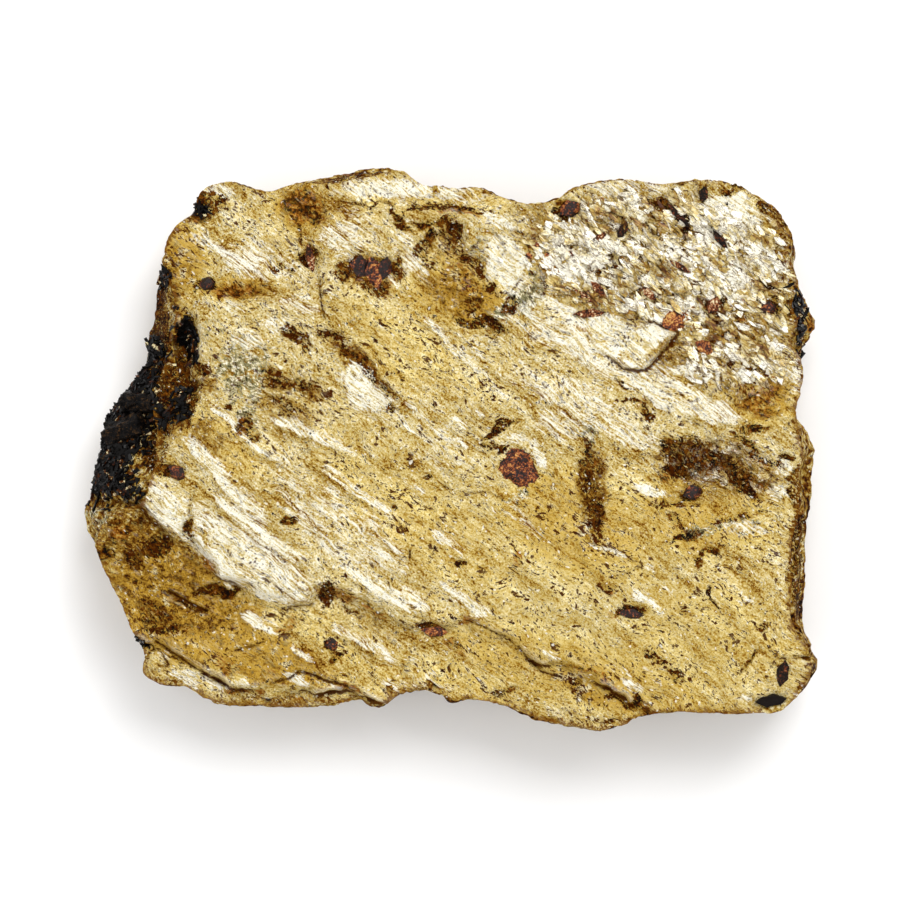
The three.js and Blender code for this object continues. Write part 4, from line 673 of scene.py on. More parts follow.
def ring_points(steps):
    """The closed smooth curve through the outline, in even steps along each side, with each step's place."""
    points = np.array([p for side in SIDES for p in side], float)
    count = len(points)
    t = np.arange(CURVE_STEPS) / CURVE_STEPS
    spans = []
    for k in range(count):
        p0, p1, p2, p3 = (points[(k + d) % count] for d in (-1, 0, 1, 2))
        t0, t1 = 0.5 * (p2 - p0), 0.5 * (p3 - p1)
        bend = np.outer(t**2, -3 * p1 + 3 * p2 - 2 * t0 - t1) + np.outer(t**3, 2 * p1 - 2 * p2 + t0 + t1)
        spans.append(p1 + np.outer(t, t0) + bend)
    fine = np.concatenate(spans + [points[:1]])
    ring, places = [], []
    first = 0
    for number, (side, wanted) in enumerate(zip(SIDES, steps)):
        part = fine[first * CURVE_STEPS : (first + len(side)) * CURVE_STEPS + 1]
        run = np.concatenate([[0], np.cumsum(np.hypot(*np.diff(part, axis=0).T))])
        at = np.arange(wanted) / wanted
        ring.append(np.stack([np.interp(at * run[-1], run, part[:, c]) for c in (0, 1)], axis=1))
        places.append((number + at) * PLACES / 4)
        first += len(side)
    return np.concatenate(ring), np.concatenate(places)


def inward_directions(places):
    """The direction into the slab at each place, which turns gently."""
    coarse, _ = ring_points([PLACES // 4] * 4)
    run = np.roll(coarse, -9, axis=0) - np.roll(coarse, 9, axis=0)
    run /= np.linalg.norm(run, axis=1, keepdims=True)
    inward = np.stack([run[:, 1], -run[:, 0]], axis=1)
    inward = np.concatenate([inward, inward[:1]])
    at = np.arange(PLACES + 1)
    return np.stack([np.interp(places, at, inward[:, c]) for c in (0, 1)], axis=1)


def rim_inset(x, y):
    inset = np.full(x.shape, RIM_INSET)
    for px, py, reach, depth in BREAKS:
        inset += depth * np.exp(-((np.hypot(x - px, y - py) / reach) ** 4))
    return inset


def block_share(number, places, blocks):
    """A share from 0 to 1 that keeps its value over a stretch of the sides and then changes quickly."""

    def share(block):
        mixed = np.sin((block % blocks) * 12.9898 + number * 78.233) * 43758.5453
        return mixed - np.floor(mixed)

    at = places * blocks / PLACES
    block = np.floor(at)
    blend = smooth((at - block - 0.3) / 0.4)
    return share(block) * (1 - blend) + share(block + 1) * blend


def side_inset(t, bed, x, y, places):
    """How far a bed's edge is inside the widest outline, a share t of the way down."""
    step = 0 if bed == WIDEST_BED else BED_STEP * block_share(bed, places, BED_BLOCKS)
    above = rim_inset(x, y) * (1 - smooth(t / GIRDLE))
    below = FOOT_INSET * max((t - GIRDLE) / (1 - GIRDLE), 0) ** 2
    return above + step + below


def stretched_grid(ring, n_u, n_v):
    """A grid of points whose edge is the ring, as rows from the bottom side up."""
    top = ring[: n_u + 1]
    right = ring[n_u : n_u + n_v + 1][::-1]
    bottom = ring[n_u + n_v : 2 * n_u + n_v + 1][::-1]
    left = np.concatenate([ring[2 * n_u + n_v :], ring[:1]])
    u = np.linspace(0, 1, n_u + 1)[None, :, None]
    v = np.linspace(0, 1, n_v + 1)[:, None, None]
    sides = (1 - v) * bottom[None] + v * top[None] + (1 - u) * left[:, None] + u * right[:, None]
    corners = (1 - u) * (1 - v) * bottom[0] + u * (1 - v) * bottom[-1]
    corners = corners + (1 - u) * v * top[0] + u * v * top[-1]
    return sides - corners


def lost_depth(x, y):
    """How far the underside is above the surface that the slab lies on."""
    depth = np.zeros(x.shape)
    for rise, outline in LOST_SHEETS:
        depth = np.maximum(depth, rise * smooth(depth_inside(outline, x, y) / 0.5 + 0.5))
    return depth


def grid_faces(rows):
    """Quads between rows of point numbers, facing up when the rows run from -Y to +Y."""
    return np.stack([rows[:-1, :-1], rows[:-1, 1:], rows[1:, 1:], rows[1:, :-1]], axis=-1).reshape(-1, 4)


def slab_mesh(settings):
    """The slab as one closed mesh: face, sides with their sheet ends, and underside."""
    n_u, n_v = settings.columns, settings.rows
    outline, places = ring_points([n_u, n_v, n_u, n_v])
    inward = inward_directions(places)
    x, y = outline.T
    count = len(outline)
    ragged = 0.7 * (noise(x / 2.2, y / 2.2, 101, 3) - 0.5)
    rim = outline + inward * (rim_inset(x, y) + ragged)[:, None]
    grid = stretched_grid(rim, n_u, n_v)
    face = np.dstack([grid, face_height(grid[..., 0], grid[..., 1])])
    points = [face.reshape(-1, 3)]
    number = np.arange((n_u + 1) * (n_v + 1)).reshape(n_v + 1, n_u + 1)
    edge = np.concatenate([number[-1, :-1], number[::-1, -1][:-1], number[0, ::-1][:-1], number[:, 0][:-1]])
    rim_z = points[0][edge, 2]
    faces = [grid_faces(number)]
    base = len(points[0])
    above = edge
    sheets = settings.sheets
    for sheet in range(sheets):
        for part in SHEET_FACES:
            t = (sheet + part) / sheets
            last = sheet == sheets - 1 and part > 0.5
            t = 1 if last else t
            bed = next(k for k, bottom in enumerate(BED_BOTTOMS) if t <= bottom)
            inset = side_inset(t, bed, x, y, places)
            near_girdle = 0.35 + 0.65 * min(abs(t - GIRDLE) / 0.2, 1)
            chips = 0.7 * block_share(sheet + 20, places, 150) + 0.5 * block_share(sheet + 60, places, 410)
            inset = inset + near_girdle * (chips + 1.1 * (noise(x / 1.1 + 31 * sheet, y / 1.1, 111, 3) - 0.5))
            wave = 0 if last else 0.03 * (noise(x / 14, y / 14, 121 + sheet // 3, 2) - 0.5)
            spot = outline + inward * inset[:, None]
            foot = lost_depth(spot[:, 0], spot[:, 1])
            points.append(np.column_stack([spot, foot + (rim_z - foot) * (1 - t + wave)]))
            below = base + np.arange(count)
            base += count
            after = np.roll(np.arange(count), -1)
            faces.append(np.stack([above, above[after], below[after], below], axis=-1))
            above = below
    ring = points[-1]
    grid = stretched_grid(ring[:, :2], n_u, n_v)
    floor = np.dstack([grid, lost_depth(grid[..., 0], grid[..., 1])])
    inner = np.full((n_v + 1, n_u + 1), -1)
    inner[-1, :] = above[: n_u + 1]
    inner[:, -1] = above[n_u : n_u + n_v + 1][::-1]
    inner[0, :] = above[n_u + n_v : 2 * n_u + n_v + 1][::-1]
    inner[:, 0] = np.append(above[2 * n_u + n_v :], above[0])
    inner[1:-1, 1:-1] = base + np.arange((n_u - 1) * (n_v - 1)).reshape(n_v - 1, n_u - 1)
    points.append(floor[1:-1, 1:-1].reshape(-1, 3))
    faces.append(grid_faces(inner)[:, ::-1])
    return np.concatenate(points), np.concatenate(faces)


def new_mesh(name, points, faces):
    """A mesh object made of points in millimetres and faces that all have the same number of corners."""
    mesh = bpy.data.meshes.new(name)
    corners = faces.shape[1]
    mesh.vertices.add(len(points))
    mesh.vertices.foreach_set("co", (np.asarray(points) * MM).ravel())
    mesh.loops.add(faces.size)
    mesh.loops.foreach_set("vertex_index", faces.astype(np.int32).ravel())
    mesh.polygons.add(len(faces))
    mesh.polygons.foreach_set("loop_start", np.arange(len(faces), dtype=np.int32) * corners)
    mesh.update(calc_edges=True)
    mesh.validate()
    piece = bpy.data.objects.new(name, mesh)
    bpy.context.scene.collection.objects.link(piece)
    return piece


def apply_modifiers(piece, name):
    """Applies a piece's modifiers, which leaves it a plain mesh."""
    graph = bpy.context.evaluated_depsgraph_get()
    mesh = bpy.data.meshes.new_from_object(piece.evaluated_get(graph))
    mesh.name = name
    piece.modifiers.clear()
    piece.data = mesh


def store(mesh, name, values):
    layer = mesh.attributes.new(name, "FLOAT", "POINT")
    layer.data.foreach_set("value", np.asarray(values, dtype=np.float32))


def points_of(mesh):
    flat = np.empty(3 * len(mesh.vertices))
    mesh.vertices.foreach_get("co", flat)
    return flat.reshape(-1, 3) / MM


def hollow_field(x, y, radius, step=0.3):
    """How far each place is below the face around it, in millimetres, from heights on a plain square grid."""
    xs, ys = np.arange(-62, 62, step), np.arange(-48, 48, step)
    grid_x, grid_y = np.meshgrid(xs, ys)
    height = face_height(grid_x, grid_y)
    reach = round(radius / step)
    padded = np.pad(height, reach, mode="edge")
    total = np.zeros(height.shape)
    offsets = [(i, j) for i in range(2 * reach + 1) for j in range(2 * reach + 1)]
    offsets = [o for o in offsets if math.hypot(o[0] - reach, o[1] - reach) <= reach]
    for i, j in offsets:
        total += padded[i : i + height.shape[0], j : j + height.shape[1]]
    hollow = total / len(offsets) - height
    u = np.clip((x - xs[0]) / step, 0, len(xs) - 1.001)
    v = np.clip((y - ys[0]) / step, 0, len(ys) - 1.001)
    i, j = v.astype(int), u.astype(int)
    a, b = v - i, u - j
    low = hollow[i, j] * (1 - b) + hollow[i, j + 1] * b
    high = hollow[i + 1, j] * (1 - b) + hollow[i + 1, j + 1] * b
    return low * (1 - a) + high * a


def paint_fields(piece):
    """Stores what the slab's material reads at each point: patches, the folds' white flanks (a painted
    highlight on silvery mica), hollows, dark ledge lines (painted shade) and the rim (painted shade).
    """
    mesh = piece.data
    x, y, z = points_of(mesh).T
    normals = np.empty(3 * len(mesh.vertices))
    mesh.vertices.foreach_get("normal", normals)
    up = normals.reshape(-1, 3)[:, 2]
    outline, places = ring_points(RIM_STEPS)
    rim = outline + inward_directions(places) * rim_inset(*outline.T)[:, None]
    tree = KDTree(len(rim))
    for k, (rx, ry) in enumerate(rim):
        tree.insert((rx, ry, 0), k)
    tree.balance()
    far = np.array([tree.find((px, py, 0))[2] for px, py in zip(x, y)])
    level = face_height(x, y, fine=False)
    on_face = smooth((z - level + 2.2) / 1.4) * (up > -0.2)
    seen = smooth((z - 6) / 5) * (up > -0.5)
    # Painted highlight: the folds' upper flanks, which face the key light, are painted white, together with
    # the silvery mica patches
    store(mesh, "silver", np.maximum(fold_heights(x, y)[1], patch_field(SILVER_SHEEN_PATCHES, x, y)) * on_face)
    brown = patch_field(BROWN_PATCHES, x, y) * seen
    store(mesh, "brown", brown)
    store(mesh, "rust", patch_field(RUST_PATCHES, x, y) * seen)
    store(mesh, "grey", patch_field(GREY_PATCHES, x, y) * seen)
    flaky = patch_field(FLAKY_PATCHES, x, y) * on_face
    black = patch_field(BLACK_PATCHES, x, y) * smooth((z - 2 - 14 * noise(x / 3, y / 3, 211, 2)) / 3)
    dark = patch_field(DARK_PATCHES, x, y) * seen
    store(mesh, "dark", dark)
    store(mesh, "gold", patch_field(GOLD_PATCHES, x, y))
    plain = depth_inside(LIFTED_FLAKES["silver_plate"][3], x, y) > -0.5
    loose = smooth((flaky - 0.45) / 0.4) * (up > 0.6) * (far > 1.2) * (y > 11)
    loose = loose * (1 - np.maximum(black, 0.97 * plain)) * (1 - 0.8 * dark) * (1 - 0.6 * brown)
    store(mesh, "flake_density", loose)
    store(mesh, "chip_density", black)
    # Painted shade at the foot of the ledges, under the peeled flakes, in the creases and cracks
    store(mesh, "ledge", ledge_shade_lines(x, y) * on_face)
    store(mesh, "flaky", flaky)
    store(mesh, "calm", patch_field(CALM_PATCHES, x, y) * on_face)
    store(mesh, "black", black)
    store(mesh, "hollow", np.clip(hollow_field(x, y, 0.9), -1, 1) * on_face)
    # Painted shade: darkens the face towards its rim, half as much near the top edge, which faces the light
    store(mesh, "rim", np.exp(-far / 0.9) * on_face * (1 - 0.5 * smooth((y - 34) / 5)))
    store(mesh, "side", 1 - on_face)


class Amount:
    """A number that changes over a surface, to be used in plain arithmetic."""

    def __init__(self, surface, socket):
        self.surface = surface
        self.socket = socket

    def _with(self, operation, first, second):
        node = self.surface.add("ShaderNodeMath", {"operation": operation}, {0: first, 1: second})
        return Amount(self.surface, node.outputs[0])

    def __add__(self, other):
        return self._with("ADD", self, other)

    __radd__ = __add__

    def __sub__(self, other):
        return self._with("SUBTRACT", self, other)

    def __rsub__(self, other):
        return self._with("SUBTRACT", other, self)

    def __mul__(self, other):
        return self._with("MULTIPLY", self, other)

    def __lt__(self, other):
        return self._with("LESS_THAN", self, other)

    def __gt__(self, other):
        return self._with("GREATER_THAN", self, other)

    def most(self, other):
        return self._with("MAXIMUM", self, other)

    def distance(self):
        """How far this amount is from nothing, either way."""
        return self._with("ABSOLUTE", self, 0)

    def held(self):
        """This amount kept between 0 and 1."""
        settings = {"operation": "ADD", "use_clamp": True}
        return Amount(self.surface, self.surface.add("ShaderNodeMath", settings, {0: self, 1: 0}).outputs[0])


class Surface:
    """One material's nodes."""

    def __init__(self, name):
        self.material = bpy.data.materials.new(name)
        self.material.use_nodes = True
        self.tree = self.material.node_tree
        self.tree.nodes.clear()
        place = self.add("ShaderNodeTexCoord", {}, {}).outputs["Object"]
        self.millimetres = self.vector("SCALE", place, 1 / MM)

    def add(self, kind, settings, inputs):
        """A node of a kind: its settings are set first, then its sockets get their values or links."""
        node = self.tree.nodes.new(kind)
        for name, value in settings.items():
            if name == "stops":
                self._stops(node.color_ramp, value)
            else:
                setattr(node, name, value)
        for key, value in inputs.items():
            value = value.socket if isinstance(value, Amount) else value
            if isinstance(value, bpy.types.NodeSocket):
                self.tree.links.new(value, node.inputs[key])
            else:
                node.inputs[key].default_value = value
        return node

    def _stops(self, ramp, stops):
        while len(ramp.elements) < len(stops):
            ramp.elements.new(1)
        for element, (position, colour) in zip(ramp.elements, stops):
            element.position = position
            element.color = (*colour, 1)

    def vector(self, operation, first, second):
        """Vector maths on two places, or on a place and the number that scales it."""
        key = "Scale" if operation == "SCALE" else 1
        return self.add("ShaderNodeVectorMath", {"operation": operation}, {0: first, key: second}).outputs[0]

    def bump(self, height, strength, distance):
        inputs = {"Strength": strength, "Distance": distance, "Height": height}
        return self.add("ShaderNodeBump", {}, inputs).outputs[0]

    def layer(self, name):
        """A value that is stored on the mesh."""
        return Amount(self, self.add("ShaderNodeAttribute", {"attribute_name": name}, {}).outputs["Fac"])

    def stretched(self, vector, along, across):
        """The place in the folds' directions, counted in steps of these lengths."""
        turn = {"Vector": vector, "Angle": FOLD_TURN}
        turned = self.add("ShaderNodeVectorRotate", {"rotation_type": "Z_AXIS"}, turn).outputs[0]
        return self.vector("MULTIPLY", turned, (1 / along, 1 / across, 1 / across))

    def wave(self, vector, scale=1, detail=3, roughness=0.55):
        """Noise that goes up and down about nothing, seldom past 0.25."""
        inputs = {"Vector": vector, "Scale": scale, "Detail": detail, "Roughness": roughness}
        return Amount(self, self.add("ShaderNodeTexNoise", {}, inputs).outputs["Fac"]) - 0.5

    def cells(self, vector, feature="F1"):
        return self.add("ShaderNodeTexVoronoi", {"feature": feature}, {"Vector": vector, "Scale": 1})

    def channel(self, colour, name="Red"):
        return Amount(self, self.add("ShaderNodeSeparateColor", {}, {"Color": colour}).outputs[name])

    def ramp(self, amount, stops, constant=False):
        node = self.add("ShaderNodeValToRGB", {"stops": stops}, {"Fac": amount})
        node.color_ramp.interpolation = "CONSTANT" if constant else "LINEAR"
        return node.outputs["Color"]

    def mix(self, first, second, share, blend="MIX"):
        """One colour laid over another, by a share."""
        settings = {"data_type": "RGBA", "blend_type": blend, "clamp_factor": True}
        inputs = {}
        for key, value in {0: share, 6: first, 7: second}.items():
            plain = not isinstance(value, (Amount, bpy.types.NodeSocket)) and key
            inputs[key] = (*value[:3], 1) if plain else value
        return self.add("ShaderNodeMix", settings, inputs).outputs[2]

    def finish(self, inputs):
        shader = self.add("ShaderNodeBsdfPrincipled", {}, inputs)
        output = self.add("ShaderNodeOutputMaterial", {}, {})
        self.tree.links.new(shader.outputs[0], output.inputs["Surface"])
        return self.material


def tones(settings, **places):
    """A ramp's stops: where along it each of the settings' colours stands."""
    return [(place, getattr(settings, name)) for name, place in places.items()]


def mica_material(settings):
    """Golden mica: streaks along the folds, flanks painted near-white as silvery mica and highlight, and
    brown, rust, grey and black patches, with painted shade at the ledges, in the hollows and along the rim.
    """
    s = Surface("golden_mica")
    mm = s.millimetres
    wander = s.add("ShaderNodeTexNoise", {}, {"Vector": mm, "Scale": 0.14, "Detail": 2.5}).outputs["Color"]
    wander = s.vector("SCALE", s.vector("SUBTRACT", wander, (0.5, 0.5, 0.5)), 5.0)
    bent = s.vector("ADD", mm, wander)
    straight = s.add("ShaderNodeMix", {"data_type": "VECTOR"}, {0: 0.55, 4: mm, 5: bent}).outputs[1]
    broad = s.wave(s.stretched(bent, 11, 3), detail=3)
    streak = s.wave(s.stretched(straight, 4.2, 0.55), detail=4, roughness=0.62)
    mottle = s.wave(mm, 0.62, detail=5, roughness=0.68)
    fleck = s.wave(s.stretched(bent, 0.95, 0.38), detail=3, roughness=0.68)
    grain = s.wave(mm, 3.3, detail=2, roughness=0.7)
    crumb = s.wave(mm, 1.15, detail=4, roughness=0.62)
    stria = s.wave(s.stretched(straight, 9, 0.36), detail=3, roughness=0.6)
    ragged = mottle * 1.6 + fleck * 2.4 + grain * 1.6

    names = ("silver", "brown", "dark", "rust", "grey", "flaky", "calm", "black", "hollow", "rim", "side")
    silver, brown, dark, rust, grey, flaky, calm, black, hollow, rim, side = map(s.layer, names)

    fine = (streak * 0.75 + fleck * 0.8 + grain * 0.95) * (1 - calm * 0.3)
    tone = fine + broad * 0.9 + mottle * 0.5 + 0.54
    colour = s.ramp(tone, tones(
        settings, dark_brown=0.12, brown=0.22, ochre=0.33, gold=0.43, tan=0.53, cream=0.66, silver=0.8,
    ))

    warmth = (s.layer("gold") * 0.9 + broad * 2.5 + mottle * 1.2 + 0.1).held()
    colour = s.mix(colour, settings.gold_tint, warmth, "MULTIPLY")

    layers = s.wave(s.vector("MULTIPLY", mm, (0.16, 0.16, 1.9)), detail=5)
    side_colour = s.ramp(layers * 1.1 + crumb * 1.3 + mottle * 0.8 + 0.55, tones(
        settings, black=0.26, dark_brown=0.36, brown=0.46, ochre=0.55, gold=0.66, cream=0.8,
    ))
    colour = s.mix(colour, side_colour, (side * 1.4 + ragged * 0.6 - 0.2).held())

    around = dark.most(rust) * 0.8
    rough = crumb * 1.1 + mottle * 1.8 + broad * 0.8 + grain * 0.3 + 0.52
    brown_colour = s.ramp(rough, tones(
        settings, black=0.26, dark_brown=0.36, brown=0.45, ochre=0.54, gold=0.66, cream=0.8,
    ))
    brown_share = ((brown.most(around) * 1.2 + broad * 2 + mottle * 1.6 + ragged * 0.5 - 0.62) * 3).held()
    colour = s.mix(colour, brown_colour, brown_share)

    mustard_colour = s.ramp(rough + fleck * 0.4, [
        (0.14, settings.black), (0.24, settings.dark_brown), (0.34, settings.brown), (0.44, settings.mustard),
        (0.68, settings.mustard), (0.86, settings.cream),
    ])
    mustard_share = ((s.layer("gold") * 1.2 + broad + ragged * 0.5 - 0.86) * 2.6).held()
    colour = s.mix(colour, mustard_colour, mustard_share * 0.85)

    grey_colour = s.ramp(fleck * 1.8 + crumb * 1.4 + 0.5, [
        (0.24, settings.black), (0.36, settings.grey), (0.5, settings.grey), (0.62, settings.cream),
        (0.78, settings.silver),
    ])
    colour = s.mix(colour, grey_colour, ((grey * 1.3 + mottle * 2.4 + ragged - 0.62) * 2.4).held())

    plate_place = s.stretched(bent, 2.3, 1.1)
    plates = s.cells(plate_place)
    plate_colour = s.ramp(s.channel(plates.outputs["Color"]), tones(
        settings, dark_brown=0, brown=0.08, ochre=0.2, gold=0.36, tan=0.5, cream=0.64, silver=0.8,
    ), constant=True)
    small = s.cells(s.stretched(bent, 1, 0.5))
    small_colour = s.ramp(s.channel(small.outputs["Color"]), tones(
        settings, black=0, brown=0.12, rust=0.24, ochre=0.3, gold=0.44, tan=0.56, cream=0.7, silver=0.84,
    ), constant=True)
    plate_colour = s.mix(plate_colour, small_colour, (fleck * 7 + 0.5).held())
    gap = Amount(s, s.cells(plate_place, feature="DISTANCE_TO_EDGE").outputs["Distance"])
    plate_colour = s.mix(plate_colour, settings.dark_brown, ((fleck * 0.7 + 0.04 - gap) * 16).held())
    flaky_share = ((flaky * 1.1 + ragged * 0.8 - 0.5) * 2.6).held()
    colour = s.mix(colour, plate_colour, flaky_share * 0.9)

    # Painted highlight on silvery mica: the folds' upper flanks and the silvery patches get near-white colour
    silver_sheen_colour = s.ramp(stria * 1.25 + fleck * 0.7 + grain * 0.8 + 0.52, tones(
        settings, gold=0.2, tan=0.31, cream=0.43, silver=0.56,
    ))
    silver_sheen_share = ((silver * 1.5 + stria * 2 + streak * 1.4 + ragged * 0.3 - 0.58) * 1.9).held()
    colour = s.mix(colour, silver_sheen_colour, silver_sheen_share)

    rust_colour = s.ramp(rough, tones(
        settings, black=0.3, dark_brown=0.4, rust=0.52, gold=0.72,
    ))
    colour = s.mix(colour, rust_colour, ((rust * 1.15 + ragged * 1.3 - 0.58) * 3).held() * 0.9)

    for along, across, width in ((5, 1.2, 0.014), (1.9, 0.9, 0.022)):
        vein_line = s.wave(s.stretched(bent, along, across), detail=4, roughness=0.62).distance()
        vein_here = mottle * 6 + streak * 3 + flaky * 0.4 + brown * 0.5 - calm * 0.2 - silver_sheen_share * 0.3
        colour = s.mix(colour, settings.dark_brown, ((width - vein_line) * 90).held() * vein_here.held())

    dark_colour = s.ramp(crumb * 1.5 + fleck * 1.2 + 0.45, tones(
        settings, black=0.4, dark_brown=0.52, brown=0.66, rust=0.76, cream=0.9,
    ))
    broken = (ragged * 1.8 + crumb * 1.4) * (dark * 1.2 + 0.12)
    dark_share = ((dark * 1.5 + broken - 0.72) * 4).held()
    colour = s.mix(colour, dark_colour, dark_share)

    # Painted shade: dark brown lines at the foot of ledges, under the peeled flakes' lips, in the folds'
    # creases and in the cracks
    ledge_shade_share = ((s.layer("ledge") * 1.3 + ragged * 0.9 - 0.55) * 4).held()
    colour = s.mix(colour, settings.dark_brown, ledge_shade_share * 0.9)
    blot = fleck * 1.6 + crumb * 1.2 + broad * 0.8 + calm * 0.03 + brown * 0.05 - 0.26
    blot_colour = s.mix(settings.brown, settings.dark_brown, (blot * 14).held())
    colour = s.mix(colour, blot_colour, (blot * 24).held() * (0.95 - silver_sheen_share * 0.6))
    specks = s.cells(s.stretched(bent, 1.5, 0.9))
    pick = s.channel(specks.outputs["Color"])
    size = s.channel(specks.outputs["Color"], "Green")
    near = Amount(s, specks.outputs["Distance"])
    crowd = broad * 2.4 + mottle * 1.6 + calm * 0.14 + 0.3
    speck = ((size * 0.46 + fleck * 2.2 + grain * 0.5 - 0.06 - near) * 16).held() * (pick < crowd)
    colour = s.mix(colour, settings.dark_brown, speck * (0.95 - silver_sheen_share * 0.6))
    clots = s.cells(s.stretched(bent, 3.6, 2.4))
    clot_pick = s.channel(clots.outputs["Color"])
    clot_size = s.channel(clots.outputs["Color"], "Green") * 0.33 - Amount(s, clots.outputs["Distance"])
    clot = ((clot_size + fleck * 1.5 + crumb * 1.1 - 0.06) * 16).held() * (clot_pick < crowd + 0.1)
    colour = s.mix(colour, settings.dark_brown, clot * (0.9 - silver_sheen_share * 0.5))
    tiny = s.cells(s.stretched(bent, 0.7, 0.5))
    tiny_near = Amount(s, tiny.outputs["Distance"])
    tiny_pick = s.channel(tiny.outputs["Color"])
    tiny_speck = ((0.34 + fleck - tiny_near) * 12).held()
    tiny_here = tiny_pick < broad * 2 + mottle * 2 - silver_sheen_share * 0.15 - brown * 0.1 + 0.13
    colour = s.mix(colour, settings.dark_brown, tiny_speck * tiny_here * 0.85)
    # Painted glints: a few of the tiny specks are near-white
    colour = s.mix(colour, settings.silver, tiny_speck * (tiny_pick > 0.92 + brown * 0.04) * 0.7)

    shade = (hollow * 2 + fleck * 1.2 - 0.05).held()
    colour = s.mix(colour, settings.dark_brown, shade * 0.8)
    lit = (hollow * -1.6 + streak * 1.5 - 0.15 - dark_share * 0.5).held()
    colour = s.mix(colour, settings.silver, lit * 0.4)
    # Painted shade: brown along the face's rim, weaker at the top edge that faces the light
    colour = s.mix(colour, settings.brown, ((rim * 1.3 + ragged * 1.2 - 0.6) * 3).held() * 0.85)
    black_share = ((black * 1.5 + ragged * 1.3 - 0.6) * 4).held()
    colour = s.mix(colour, settings.black, black_share)

    shine = silver_sheen_share * 0.3 + flaky_share * 0.2 + 0.08
    roughness = 0.58 - silver_sheen_share * 0.14 - black_share * 0.3 + grain
    normal = s.bump(streak * 1.2 + fleck * 1.4 + grain * 1.1, 0.9, 0.00025)
    return s.finish({
        "Base Color": colour, "Metallic": (shine * (1 - dark_share)).held(), "Roughness": roughness.held(),
        "Normal": normal, "Specular IOR Level": 0.02,
    })


def crystal_material(name, stops, roughness, stored=None, level=0.3):
    """A crystal's finish: colours from dark to light in small broken patches, shifted by a stored amount."""
    s = Surface(name)
    patches = s.wave(s.millimetres, 0.9, detail=5, roughness=0.72)
    chips = s.wave(s.millimetres, 3.2, detail=3, roughness=0.7)
    tone = patches * 1.6 + chips * 1.6 + (s.layer(stored) * 0.34 + 0.3 if stored else 0.5)
    return s.finish({
        "Base Color": s.ramp(tone, stops), "Roughness": roughness, "Specular IOR Level": level,
        "Normal": s.bump(patches + chips * 0.7, 0.8, 0.0003),
    })


def weathered(points, faces, levels, amount, seed):
    """A solid with its triangles split into finer ones and its surface worn uneven."""
    points, faces = np.asarray(points, float), np.asarray(faces)
    for _ in range(levels):
        edges = np.sort(np.concatenate([faces[:, [0, 1]], faces[:, [1, 2]], faces[:, [2, 0]]]), axis=1)
        unique, where = np.unique(edges, axis=0, return_inverse=True)
        middles = len(points) + where.reshape(3, -1)
        points = np.concatenate([points, points[unique].mean(axis=1)])
        (a, b, c), (ab, bc, ca) = faces.T, middles
        quarters = ((a, ab, ca), (ab, b, bc), (ca, bc, c), (ab, bc, ca))
        faces = np.concatenate([np.stack(quarter, axis=1) for quarter in quarters])
    x, y, z = points.T
    u, v = x * 1.3 + z * 0.9, y * 1.3 - z * 0.7
    moves = [noise(u + shift, v, seed + shift, 3) - 0.5 for shift in (0, 11, 23)]
    return points + 2 * amount * np.stack(moves, axis=1), faces


def join_parts(parts):
    """Points and triangles of several convex solids as one list, with a stored amount for each."""
    points, faces, amounts, base = [], [], [], 0
    for part_points, part_faces, amount in parts:
        points.append(part_points)
        faces.append(np.asarray(part_faces) + base)
        amounts.append(np.full(len(part_points), amount))
        base += len(part_points)
    return np.concatenate(points), np.concatenate(faces), np.concatenate(amounts)


def turn_about_z(points, degrees):
    a = math.radians(degrees)
    x, y = points[:, 0].copy(), points[:, 1].copy()
    points[:, 0], points[:, 1] = x * math.cos(a) - y * math.sin(a), x * math.sin(a) + y * math.cos(a)
    return points


def garnet_solid(half_along, half_across, turn, proud):
    """A rhombic dodecahedron as corners and triangles, with its top at the height proud."""
    signs = [(a, b, c) for a in (-1, 1) for b in (-1, 1) for c in (-1, 1)]
    tips = [tuple(way if k == axis else 0 for k in range(3)) for axis in range(3) for way in (-2, 2)]
    corners = np.array(signs + tips, float)
    faces = []
    for first in range(6):
        for second in range(first + 1, 6):
            if first // 2 == second // 2:
                continue
            tip_a, tip_b = corners[8 + first], corners[8 + second]
            shared = [k for k in range(8) if corners[k] @ tip_a > 0 and corners[k] @ tip_b > 0]
            a, b, c, d = 8 + first, shared[0], 8 + second, shared[1]
            outward = np.cross(corners[b] - corners[a], corners[c] - corners[a]) @ (tip_a + tip_b) > 0
            faces += [(a, b, c), (a, c, d)] if outward else [(a, c, b), (a, d, c)]
    tilt = Quaternion((0, 1, 0), 0.3) @ Quaternion((1, 0, 0), 0.35)
    corners = np.array([tilt @ Vector(p) for p in corners])
    corners *= (half_along / 1.75, half_across / 1.75, proud / 1.4)
    corners = turn_about_z(corners, turn)
    corners[:, 2] += proud - corners[:, 2].max()
    return corners, faces


def prism_solid(outline, bottom, top):
    """A straight prism over an outline, as corners and triangles."""
    count = len(outline)
    points = np.array([(x, y, z) for z in (bottom, top) for x, y in outline], float)
    faces = []
    for k in range(count):
        after = (k + 1) % count
        faces += [(k, after, count + after), (k, count + after, count + k)]
    faces += [(0, k + 1, k) for k in range(1, count - 1)]
    faces += [(count, count + k, count + k + 1) for k in range(1, count - 1)]
    return points, faces


def dress(piece, material):
    piece.data.materials.clear()
    piece.data.materials.append(material)


def ride_root(piece):
    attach(piece, "root")


